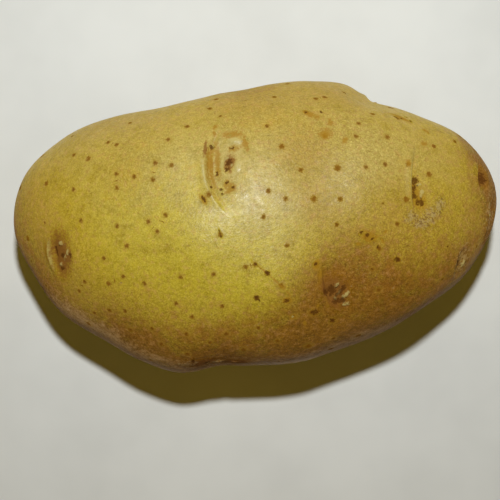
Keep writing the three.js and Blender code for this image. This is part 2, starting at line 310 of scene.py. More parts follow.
@dataclass(frozen=True)
class Eye:
    """An eye: the brow left by a scale leaf, and the hollow in front of it with its buds."""

    name: str
    azimuth: float
    elevation: float
    turn: float
    brow: float
    arch: float
    lip: float
    depth: float
    reach: float
    fold: float = 0.0
    buds: int = 0
    buds_ahead: float = 2.4
    buds_aside: float = 0.0
    marks: tuple[EyeMark, ...] = ()
    brow_edge: float = 0.5
    # how strongly the pale line on the brow is painted: pale skin, and a painted highlight on the
    # ridge
    rim: float = 0.3
    # how strongly the crease inside the brow is darkened with painted shade
    groove_shade: float = 0.3
    lip_set: float = 0.6
    lip_spread: float = 1.05
    fold_set: float = 1.3
    fold_spread: float = 0.62
    far_rim: float = 0.4
    far_rim_spread: float = 1.6
    rim_set: float = -0.4
    rim_spread: float = 0.45
    groove_shade_set: float = 0.8
    groove_shade_spread: float = 0.9
    taper_power: float = 1.5
    span: float = 2.5
    thickness: float = 9.0
    bud_radius: float = 0.95
    bud_height: float = 0.45
    bud_gap: float = 1.9
    bud_stagger: float = 1.0

    def scattered_marks(self) -> tuple[EyeMark, ...]:
        """Returns the marks round the buds of an eye that has none of its own."""
        if self.marks or not self.buds:
            return self.marks
        dice = np.random.default_rng(int(self.azimuth) * 97 + self.buds)
        made = []
        for index in range(self.buds):
            ahead, aside = self.bud_place(index)
            made.append(EyeMark(Mark.STAIN, ahead, aside, 3.2, 2.4, dice.uniform(60, 120)))
            made.append(EyeMark(Mark.FLAKE, ahead, aside, 1.2, 0.7, dice.uniform(0, 180), 0.1))
            for _ in range(3):
                spot = EyeMark(
                    Mark.SCAR,
                    ahead + dice.uniform(-1.0, 1.2),
                    aside + dice.uniform(-1.0, 1.0),
                    dice.uniform(0.8, 1.5),
                    dice.uniform(0.5, 0.9),
                    dice.uniform(0, 180),
                    -0.1,
                )
                made.append(spot)
        return tuple(made)

    def bud_place(self, index: int) -> tuple[float, float]:
        """Returns how far ahead and aside one of the buds stands."""
        aside = self.buds_aside + (index - (self.buds - 1) / 2) * self.bud_gap
        return self.buds_ahead + self.bud_stagger * (index % 2), aside

    def layers(self, skin_frame: SkinFrame, points: Points) -> dict[str, Values]:
        """Works out the eye's relief and its colour layers.

        Args:
            skin_frame: The eye's own axes on the skin.
            points: The flesh's points.

        Returns:
            The rise of each point, under "rise", and the cover of each layer by its name.
        """
        ahead, aside, out = skin_frame.local(points)
        share = aside / (self.brow / 2)
        near = (np.abs(ahead) < self.span * self.reach) & (np.abs(out) < self.thickness)
        in_front = ahead - self.arch * share * share
        taper = np.where(near, np.clip(1 - share * share, 0, None) ** self.taper_power, 0.0)
        sink = smooth_step(in_front, -self.brow_edge, self.brow_edge)
        left = 1 - np.clip(in_front, 0, None) / self.reach
        recover = np.clip(left, 0, None) ** self.taper_power
        lip = self.lip * bell(in_front, -self.lip_set, self.lip_spread)
        rim = self.far_rim * self.lip * bell(in_front, self.reach, self.far_rim_spread)
        fold = self.fold * bell(in_front, self.fold_set, self.fold_spread)
        rise = taper * (lip + rim + fold - self.depth * sink * recover)
        for index in range(self.buds):
            bud_ahead, bud_aside = self.bud_place(index)
            away = np.hypot(aside - bud_aside, in_front - bud_ahead)
            rise = rise + np.where(near, self.bud_height * dome(away, self.bud_radius), 0.0)
        layers = {
            "hollow": taper * sink * recover,
            # pale skin and a painted highlight along the brow's ridge
            "brow": self.rim * taper * bell(in_front, self.rim_set, self.rim_spread),
            # painted shade in the crease just inside the brow
            "crease": self.groove_shade * taper * bell(in_front, self.groove_shade_set, self.groove_shade_spread),
        }
        layers["rise"] = rise
        for mark in self.scattered_marks():
            mark.lay(layers, ahead, aside, near)
        return layers


@dataclass(frozen=True)
class MarkGroup:
    """Small marks on the open skin, placed round a point in millimetres."""

    name: str
    azimuth: float
    elevation: float
    size: float
    marks: tuple[EyeMark, ...]
    thickness: float = 9.0

    def layers(self, skin_frame: SkinFrame, points: Points) -> dict[str, Values]:
        """Works out the marks' relief and colour layers.

        Args:
            skin_frame: The group's own axes on the skin.
            points: The flesh's points.

        Returns:
            The rise of each point, under "rise", and the cover of each layer by its name.
        """
        ahead, aside, out = skin_frame.local(points)
        near = np.abs(out) < self.thickness
        layers: dict[str, Values] = {"rise": np.zeros(len(points))}
        for mark in self.marks:
            mark.lay(layers, ahead, aside, near)
        return layers


@dataclass(frozen=True)
class StemScar:
    """The scar of the stolon: a shallow dimple in the stem end, with the stub in it."""

    azimuth: float = 184.0
    elevation: float = -7.0
    radius: float = 4.2
    depth: float = 1.4
    stub_radius: float = 1.3
    stub_height: float = 1.0
    stub_cover: float = 0.8
    ring_share: float = 1.3
    ring_spread: float = 0.5
    scuff_share: float = 1.3
    scuff_cover: float = 1.4
    thickness: float = 9.0
    outside: float = 99.0

    def layers(self, skin_frame: SkinFrame, points: Points) -> dict[str, Values]:
        """Works out the scar's relief and its colour layers.

        Args:
            skin_frame: The scar's own axes on the skin.
            points: The flesh's points.

        Returns:
            The rise of each point, under "rise", and the cover of each layer by its name.
        """
        ahead, aside, out = skin_frame.local(points)
        near = np.abs(out) < self.thickness
        away = np.where(near, np.hypot(ahead, aside), self.outside)
        dimple = dome(away, self.radius)
        stub = dome(away, self.stub_radius)
        ring = bell(away, self.stub_radius * self.ring_share, self.ring_spread)
        scuff = dome(away, self.radius * self.scuff_share) * self.scuff_cover
        return {
            "rise": self.stub_height * stub - self.depth * dimple,
            "scuff": np.clip(scuff, 0, 1),
            "scar": np.maximum(ring, self.stub_cover * stub),
            "hollow": dimple,
        }


class Tone(Enum):
    """A broad colour laid on the skin, by the name of the layer that holds it; some layers also
    carry painted shade and highlight.
    """

    # russet skin, and painted shade on the front flank and the lower right of the top
    RUSSET = "russet"
    # tan skin, and painted shade along the limbs and the back edge
    TAN = "tan"
    GOLD = "gold"
    # pale creamy skin, and a painted highlight over the top
    CREAM = "cream"
    NET = "net"


@dataclass(frozen=True)
class Patch:
    """A soft-edged area of a tone, round a point on the skin."""

    x: float
    y: float
    z: float
    reach: float
    strength: float = 1.0


PHOTO_EYES: tuple[Eye, ...] = (
    Eye(
        "big eye", 135, 56, 7, brow=21, arch=3.8, lip=0.45, depth=1.5, reach=9,
        fold=0.35, rim=0.5, groove_shade=1.1,
        marks=(
            EyeMark(Mark.PALE, 5.8, 2.4, 8.5, 5.0, 90),
            EyeMark(Mark.SCAR, 1.4, 4.9, 1.1, 1.0, 90, -0.35),
            # Along the brow: the purple-dark line and the two golden-brown bands are painted shade
            # in the crease, the long pale line is pale skin with a painted highlight on the crest
            EyeMark(Mark.BRUISE, 0.0, 4.4, 4.2, 0.8, 80),
            EyeMark(Mark.FLAKE, -0.7, -0.6, 8.0, 0.7, 94),
            EyeMark(Mark.STAIN, 0.6, 1.0, 8.0, 1.5, 90),
            EyeMark(Mark.STAIN, 2.4, 1.2, 8.5, 1.5, 90),
            EyeMark(Mark.SCAR, 2.1, -1.2, 1.4, 0.6, 80, -0.1),
            EyeMark(Mark.FLAKE, 6.2, 5.6, 3.4, 1.8, 0, 0.5),
            EyeMark(Mark.STAIN, 6.0, 4.0, 2.6, 1.6, 10),
            EyeMark(Mark.SCAR, 5.7, 4.1, 1.4, 0.9, 10, -0.1),
            EyeMark(Mark.FLAKE, 3.3, 0.8, 2.8, 1.1, 80, 0.25),
            EyeMark(Mark.STAIN, 4.9, 0.5, 3.4, 2.6, 70),
            EyeMark(Mark.SCAR, 4.8, 0.8, 1.9, 1.4, 70, 0.3),
            EyeMark(Mark.FLAKE, 4.4, 1.9, 1.2, 0.7, 30, 0.2),
            EyeMark(Mark.FLAKE, 5.3, 0.2, 1.0, 0.6, 60, 0.2),
            EyeMark(Mark.BRUISE, 4.9, 0.9, 3.4, 2.6, 70),
            EyeMark(Mark.SCAR, 4.2, -0.6, 1.2, 0.9, 60, -0.1),
            EyeMark(Mark.FLAKE, 6.4, -0.1, 2.6, 1.4, 80, 0.35),
            EyeMark(Mark.STAIN, 3.9, -3.8, 2.2, 1.6, 60),
            EyeMark(Mark.SCAR, 4.1, -3.4, 1.0, 0.8, 0, 0.15),
            EyeMark(Mark.SCAR, 2.8, -4.8, 0.8, 0.7, 0, 0.1),
            EyeMark(Mark.SCAR, 2.9, -5.9, 0.9, 0.8, 30, 0.1),
            EyeMark(Mark.STAIN, 4.4, -5.3, 1.8, 1.3, 20),
            EyeMark(Mark.SCAR, 0.7, -4.1, 0.7, 0.6),
            EyeMark(Mark.STAIN, 5.8, 7.3, 5.0, 1.7, 0),
            EyeMark(Mark.STAIN, 8.5, 4.8, 4.6, 1.5, 105),
            EyeMark(Mark.SCAR, -1.0, -6.7, 1.7, 0.6, 118, -0.1),
            EyeMark(Mark.STAIN, -1.0, -6.7, 3.2, 1.6, 118),
            EyeMark(Mark.STAIN, 2.2, 9.6, 1.5, 0.9, 60),
            EyeMark(Mark.STAIN, 2.0, 8.0, 1.3, 0.9, 90),
            EyeMark(Mark.STAIN, 4.9, -4.7, 2.6, 2.0, 80),
            EyeMark(Mark.SCAR, 5.2, -4.6, 0.8, 0.6, 80),
        ),
    ),
    Eye(
        "stem eye", 187.5, 18.5, 7, brow=11.5, arch=1.8, lip=0.5, depth=1.2, reach=7.5,
        rim=1.0, groove_shade=0.5,
        marks=(
            EyeMark(Mark.STAIN, 3.2, 0.4, 11.0, 6.4, 90),
            EyeMark(Mark.BRUISE, 3.0, 0.1, 9.6, 6.4, 92),
            EyeMark(Mark.BRUISE, 5.2, -0.2, 4.5, 4.0, 90),
            EyeMark(Mark.SCAR, 1.2, 0.6, 3.2, 0.8, 90, -0.1),
            EyeMark(Mark.FLAKE, 3.4, 2.5, 2.0, 1.2, 20, 0.45),
            EyeMark(Mark.SCAR, 3.4, -0.2, 1.8, 1.0, 30, -0.15),
            EyeMark(Mark.FLAKE, 4.6, -0.4, 1.7, 0.8, 50, 0.25),
            EyeMark(Mark.FLAKE, 5.6, 0.8, 1.8, 0.9, 60, 0.3),
            EyeMark(Mark.SCAR, 6.5, 0.2, 1.4, 1.0, 90, -0.1),
            EyeMark(Mark.FLAKE, 2.6, -2.2, 1.8, 1.0, 20, 0.4),
            EyeMark(Mark.SCAR, 3.0, -3.2, 1.6, 0.9, 0, -0.1),
            EyeMark(Mark.STAIN, -1.5, 0.5, 5.0, 1.7, 90),
        ),
    ),
    Eye(
        "rose eye", 17, 33.5, 2, brow=18, arch=1.4, lip=0.45, depth=1.4, reach=8, brow_edge=0.6,
        rim=0.7, groove_shade=0.3,
        marks=(
            EyeMark(Mark.SCAR, 1.1, 0.3, 2.2, 1.8, 0, -0.5),
            EyeMark(Mark.STAIN, 1.1, -1.8, 6.0, 2.4, 90),
            EyeMark(Mark.SCAR, 1.1, -1.5, 2.0, 1.2, 60, -0.15),
            EyeMark(Mark.STAIN, 2.0, -3.6, 5.5, 4.0, 100),
            EyeMark(Mark.SCAR, 1.2, -3.3, 1.8, 1.5, 0, -0.15),
            EyeMark(Mark.SCAR, 2.4, -4.5, 2.4, 1.7, 20, -0.2),
            EyeMark(Mark.FLAKE, 2.1, -0.5, 1.6, 0.9, 20, 0.3),
            EyeMark(Mark.FLAKE, 2.7, -2.4, 2.2, 1.2, 70, 0.35),
            EyeMark(Mark.SCUFF, 0.4, -8.3, 3.6, 2.2, 20),
            EyeMark(Mark.SCUFF, 2.9, -9.0, 4.6, 2.4, 10, 0.1),
            EyeMark(Mark.SCUFF, 5.3, -7.0, 4.8, 3.0, 40, 0.1),
            EyeMark(Mark.SCUFF, 7.2, -4.5, 4.2, 2.4, 65, 0.1),
            EyeMark(Mark.STAIN, 5.0, 13.4, 1.4, 0.9, 0),
            EyeMark(Mark.STAIN, 5.7, 13.0, 1.2, 0.8, 90),
            EyeMark(Mark.STAIN, 3.8, 9.4, 2.2, 1.3, 20),
            EyeMark(Mark.STAIN, -0.9, 3.6, 1.6, 1.2, 90),
        ),
    ),
    Eye(
        "front eye", 316, 53, 6, brow=13, arch=1.0, lip=0.2, depth=1.2, reach=6,
        rim=0.0, groove_shade=0.2,
        marks=(
            EyeMark(Mark.SCAR, -1.0, 4.6, 1.0, 0.6, 20),
            EyeMark(Mark.STAIN, -0.9, 4.4, 2.6, 1.8, 60),
            # These four thin marks along the brow are painted shadow in the crease
            EyeMark(Mark.STAIN, -0.4, 1.4, 4.6, 1.4, 92),
            EyeMark(Mark.SCAR, -0.3, -1.8, 1.8, 0.8, 95),
            EyeMark(Mark.BRUISE, -0.2, -1.0, 5.0, 1.4, 94),
            EyeMark(Mark.STAIN, -0.1, -4.2, 3.8, 0.8, 98),
            EyeMark(Mark.STAIN, 2.4, -2.6, 6.0, 4.0, 110),
            # The broad bruise paints shade in the eye's hollow round the buds
            EyeMark(Mark.BRUISE, 2.1, -2.7, 7.8, 5.6, 100),
            EyeMark(Mark.SCAR, 1.4, -2.0, 3.4, 2.2, 20, -0.2),
            EyeMark(Mark.FLAKE, 2.6, -1.2, 1.9, 0.8, 42, 0.5),
            EyeMark(Mark.SCAR, 3.6, -2.5, 3.0, 1.1, 50, -0.15),
            EyeMark(Mark.FLAKE, 2.9, -2.9, 1.9, 0.5, 48, 0.35),
            EyeMark(Mark.SCAR, 2.4, -3.3, 1.8, 0.7, 48, -0.1),
            EyeMark(Mark.FLAKE, 2.0, -4.0, 1.2, 0.6, 100, 0.3),
            EyeMark(Mark.SCAR, 2.6, -4.7, 2.8, 1.6, 0, -0.2),
            EyeMark(Mark.FLAKE, 4.2, -3.7, 2.4, 1.0, 35, 0.4),
            EyeMark(Mark.FLAKE, 4.0, -5.7, 2.0, 0.9, 0, 0.4),
        ),
    ),
    Eye(
        "rose tip eye, upper", 14, 14, 6, brow=9, arch=1.6, lip=0.35, depth=1.4, reach=4.5,
        brow_edge=0.7, rim=0.5,
        marks=(
            EyeMark(Mark.STAIN, 0.2, 0.6, 5.0, 0.9, 90),
            EyeMark(Mark.STAIN, 1.8, 0.0, 4.6, 3.0, 60),
            EyeMark(Mark.BRUISE, 1.8, -0.2, 5.4, 3.4, 60),
            EyeMark(Mark.SCAR, 1.6, -0.4, 5.0, 3.0, 60, -0.4),
        ),
    ),
    Eye(
        "rose tip eye, middle", 1.5, 12, -6, brow=10, arch=1.6, lip=0.4, depth=1.3, reach=5,
        brow_edge=0.9, rim=0.5,
        marks=(
            EyeMark(Mark.STAIN, 1.6, 0.4, 5.0, 3.0, 90),
            EyeMark(Mark.BRUISE, 1.6, 0.2, 8.0, 4.4, 90),
            EyeMark(Mark.SCUFF, 1.4, 0.6, 10.0, 6.0, 90),
            EyeMark(Mark.SCAR, 1.0, -1.4, 5.0, 2.4, 80, -0.35),
            EyeMark(Mark.BRUISE, 1.0, 2.2, 4.0, 2.4, 80, -0.2),
            EyeMark(Mark.FLAKE, 1.9, 1.2, 1.4, 0.7, 60, 0.3),
        ),
    ),
    Eye(
        "rose tip eye, lower", 348.5, 17.5, -10, brow=8.5, arch=1.8, lip=0.35, depth=1.2, reach=5,
        brow_edge=0.9, rim=0.8,
        marks=(
            EyeMark(Mark.STAIN, 2.0, 0.4, 4.4, 3.4, 90),
            EyeMark(Mark.SCUFF, 2.0, 0.4, 7.0, 5.4, 90),
            EyeMark(Mark.SCAR, 1.2, -0.6, 2.8, 1.8, 60, -0.3),
            EyeMark(Mark.FLAKE, 3.0, -0.5, 2.0, 1.0, 80, 0.25),
        ),
    ),
)

OTHER_EYES: tuple[Eye, ...] = (
    Eye("back notch eye", 51, -1, 0, 12, 1.8, 0.3, 0.9, 6.5, buds=2),
    Eye("back edge eye", 112, -10, 6, 11, 1.8, 0.4, 1.1, 6.5, buds=2),
    Eye("front edge eye", 245, -12, -6, 12, 2.0, 0.35, 1.0, 7, buds=3),
    Eye("under eye, stem", 166, -38, 6, 10, 1.8, 0.4, 1.0, 6, buds=3),
    Eye("under eye, front", 226, -42, 0, 12, 2.2, 0.4, 1.1, 7, buds=3),
    Eye("under eye, rose", 30, -44, 0, 13, 2.4, 0.4, 1.2, 7.5, buds=3),
    Eye("under eye, tip", 350, -24, 0, 9, 1.5, 0.35, 1.0, 5, buds=2),
)

MARK_GROUPS: tuple[MarkGroup, ...] = (
    MarkGroup(
        "dotted crack", 275.5, 66.7, 6.0,
        (
            EyeMark(Mark.SCAR, -3.2, 3.9, 0.9, 0.6, 130, -0.08),
            EyeMark(Mark.SCAR, -2.2, 3.1, 1.2, 0.6, 130, -0.1),
            EyeMark(Mark.STAIN, -1.1, 2.0, 2.4, 0.4, 132, -0.06),
            EyeMark(Mark.SCAR, 0.0, 1.0, 1.3, 1.1, 20, -0.1),
            EyeMark(Mark.STAIN, 1.5, -0.7, 3.4, 0.4, 132, -0.06),
            EyeMark(Mark.STAIN, 2.9, -2.2, 1.6, 1.0, 130, -0.05),
            EyeMark(Mark.STAIN, 3.9, -3.6, 2.4, 0.4, 125),
            EyeMark(Mark.SCAR, -2.8, -4.1, 1.4, 1.2, 40, -0.12),
            EyeMark(Mark.SCAR, -2.2, -4.6, 1.2, 0.5, 120, -0.1),
            EyeMark(Mark.SCAR, 3.6, -5.4, 1.3, 0.9, 10, -0.1),
            EyeMark(Mark.STAIN, 3.8, -5.2, 2.4, 1.8, 10),
        ),
    ),
    MarkGroup(
        "short streak", 190.8, 71.4, 2.6,
        (
            EyeMark(Mark.SCAR, -0.1, 0.3, 1.4, 0.42, 106, -0.12),
            EyeMark(Mark.SCAR, 0.2, -0.8, 0.8, 0.55, 106, -0.12),
        ),
    ),
    MarkGroup(
        "specks on the rose side", 351.9, 48.0, 6.5,
        (
            EyeMark(Mark.STAIN, 0.4, 0.6, 3.6, 2.6, 0),
            EyeMark(Mark.SCAR, -1.5, 1.5, 1.1, 0.8, 40, -0.08),
            EyeMark(Mark.SCAR, -0.2, 1.1, 1.3, 0.8, 100, -0.1),
            EyeMark(Mark.SCAR, 0.9, 0.2, 1.1, 0.6, 30, -0.08),
            EyeMark(Mark.STAIN, 3.0, -0.1, 1.5, 0.7, 120, -0.06),
            EyeMark(Mark.SCAR, 2.1, -1.5, 1.0, 0.6, 70, -0.06),
            EyeMark(Mark.STAIN, 3.7, 1.6, 1.2, 0.6, 40, -0.06),
            EyeMark(Mark.STAIN, -2.1, -0.8, 1.2, 0.7, 0, -0.06),
            EyeMark(Mark.SCAR, 6.3, -4.4, 1.4, 1.1, 0, -0.1),
        ),
    ),
    MarkGroup(
        "specks on the front", 292.7, 47.0, 7.0,
        (
            EyeMark(Mark.STAIN, -1.5, -0.5, 1.9, 1.5, 0, -0.1),
            EyeMark(Mark.FLAKE, -1.5, -0.4, 0.8, 0.7, 0, 0.08),
            EyeMark(Mark.SCAR, 3.3, -0.2, 1.7, 1.4, 20, -0.12),
            EyeMark(Mark.STAIN, 4.1, 1.4, 1.3, 0.8, 60, -0.06),
            EyeMark(Mark.STAIN, 1.0, -2.6, 1.4, 0.9, 100, -0.06),
            EyeMark(Mark.SCAR, 7.0, -3.1, 1.5, 1.2, 0, -0.1),
        ),
    ),
    MarkGroup(
        "scuffed edge", 244.9, 24.2, 9.0,
        (
            EyeMark(Mark.SCUFF, -2.6, -1.8, 5.0, 3.0, 20, 0.1),
            EyeMark(Mark.SCUFF, 3.3, -2.6, 6.0, 2.6, 0, 0.1),
            EyeMark(Mark.BRUISE, 0.0, -1.6, 8.0, 3.4, 0),
            EyeMark(Mark.SCAR, -1.6, -0.6, 3.0, 0.8, 80, -0.2),
            EyeMark(Mark.SCAR, 1.4, -2.2, 2.4, 0.6, 30, -0.15),
            EyeMark(Mark.SCUFF, 4.3, -2.4, 2.6, 0.8, 20, 0.2),
            EyeMark(Mark.SCUFF, 7.6, -3.2, 2.2, 0.7, 170, 0.2),
            EyeMark(Mark.BRUISE, 7.4, -3.0, 7.0, 2.6, 0),
        ),
    ),
    MarkGroup(
        "blotches on the back", 57.4, 41.4, 7.0,
        (
            EyeMark(Mark.STAIN, 0.1, -1.5, 3.4, 2.6, 30),
            EyeMark(Mark.STAIN, -3.0, 2.9, 4.6, 1.8, 160),
            EyeMark(Mark.SCAR, -4.4, 3.6, 0.9, 0.6, 0, -0.06),
            EyeMark(Mark.SCAR, -1.0, 4.4, 0.9, 0.7, 0, -0.06),
            EyeMark(Mark.STAIN, 1.0, 1.9, 2.0, 1.4, 100),
            EyeMark(Mark.STAIN, 4.5, -2.2, 2.2, 1.2, 60),
        ),
    ),
    MarkGroup(
        "specks by the rose end", 37.2, 17.4, 5.0,
        (
            EyeMark(Mark.STAIN, -1.2, -1.0, 5.0, 1.8, 170),
            EyeMark(Mark.SCAR, -2.5, -1.7, 0.8, 0.6, 0, -0.06),
            EyeMark(Mark.SCAR, -1.1, -1.4, 0.9, 0.6, 40, -0.06),
            EyeMark(Mark.SCAR, 0.2, 0.6, 0.8, 0.6, 0, -0.06),
            EyeMark(Mark.SCAR, 1.3, -0.7, 1.0, 0.7, 100, -0.06),
        ),
    ),
)

PATCHES: dict[Tone, tuple[Patch, ...]] = {
    Tone.GOLD: (
        Patch(-12, -12, 53, 13, 0.9), Patch(-28, -10, 47, 13, 0.7), Patch(0, -10, 53, 10, 0.8),
        Patch(-10, -2, 54, 10, 0.7), Patch(12, -2, 53, 8, 0.3), Patch(-26, 6, 49, 12, 0.5),
        Patch(8, 10, 2, 16, 0.5),
    ),
    # Tan: tan skin, and painted shade darkening the limbs, most of all the back edge that faces the
    # lamp
    Tone.TAN: (
        Patch(40, 16, 40, 9, 0.35), Patch(33, 20, 42, 8, 0.2), Patch(-27, 10, 48, 8, 0.5),
        Patch(-34, 24, 34, 9, 0.5), Patch(10, 15, 51, 7, 0.8), Patch(13, 4, 53, 6, 0.7),
        Patch(-1, 27, 43, 12, 0.9), Patch(-23, 23, 42, 12, 0.5), Patch(17, 29, 39, 10, 0.7),
        Patch(-51, 6, 35, 9, 0.6), Patch(30, 2, 50, 9, 0.5), Patch(50, 6, 37, 10, 0.5),
        Patch(27, -7, 50, 12, 0.7), Patch(38, -3, 44, 12, 0.4), Patch(-40, -12, 38, 13, 0.9),
        Patch(-26, -18, 42, 11, 0.7), Patch(-10, -20, 48, 10, 0.6), Patch(-48, -2, 34, 9, 0.7),
        Patch(-8, 30, 26, 9, 0.6), Patch(8, 32, 24, 9, 0.6), Patch(23, 30, 24, 8, 0.6),
        Patch(-39, 17, 36, 9, 0.35),
    ),
    # Cream: pale skin, and mostly a painted highlight spread over the top centre
    Tone.CREAM: (
        Patch(-14, 12, 51, 15, 0.9), Patch(0, 21, 47, 12, 0.9), Patch(-4, 3, 54, 13, 0.8),
        Patch(24, 16, 47, 11, 0.9), Patch(-25, 2, 49, 10, 0.6), Patch(5, 3, 54, 8, 0.9),
        Patch(-19, 8, 52, 8, 0.5), Patch(38, 16, 42, 8, 0.6), Patch(14, 24, 44, 10, 0.6),
        Patch(-32, 14, 42, 12, 0.5), Patch(53, 8, 30, 9, 0.5), Patch(-5, -5, 53, 8, 0.45),
        Patch(20, 8, 51, 8, 0.4), Patch(42, -2, 40, 6, 0.3),
    ),
    # Russet: real russet, and on the front flank and the lower right of the top also painted shade
    # where the light falls away
    Tone.RUSSET: (
        Patch(31, -17, 45, 12, 0.85), Patch(20, -14, 50, 10, 0.7), Patch(20, -5, 51, 8, 0.2),
        Patch(13, -16, 48, 9, 0.6), Patch(0, -24, 42, 9, 0.3), Patch(21, -24, 37, 10, 0.8),
        Patch(53, 6, 30, 9, 0.8), Patch(50, 15, 30, 8, 0.7), Patch(54, -3, 28, 8, 0.7),
        Patch(-2, 31, 34, 9, 0.35), Patch(10, -27, 44, 12, 1.1), Patch(-10, -30, 40, 13, 1.1),
        Patch(-27, -26, 38, 11, 1.0), Patch(-46, -15, 27, 12, 0.9),
        Patch(-37, -21, 28, 10, 0.8), Patch(33, -20, 32, 10, 0.8), Patch(42, -9, 38, 10, 0.6),
        Patch(44, -11, 38, 8, 0.35), Patch(-53, 7, 24, 9, 0.3), Patch(-45, -15, 26, 8, 0.25),
        Patch(55, 2, 22, 13, 0.8), Patch(50, -9, 26, 8, 0.6), Patch(48, 18, 22, 8, 0.5),
        Patch(-53, -3, 22, 12, 0.8), Patch(5, 30, 12, 14, 0.6), Patch(-25, 22, 8, 14, 0.5),
        Patch(30, -8, 4, 14, 0.6), Patch(-20, -18, 8, 13, 0.5),
    ),
    Tone.NET: (
        Patch(20, 18, 48, 13, 0.8), Patch(34, 0, 48, 13, 0.9), Patch(24, -12, 48, 12, 0.8),
        Patch(-8, -28, 40, 11, 0.7), Patch(40, 10, 12, 16, 0.7),
    ),
}


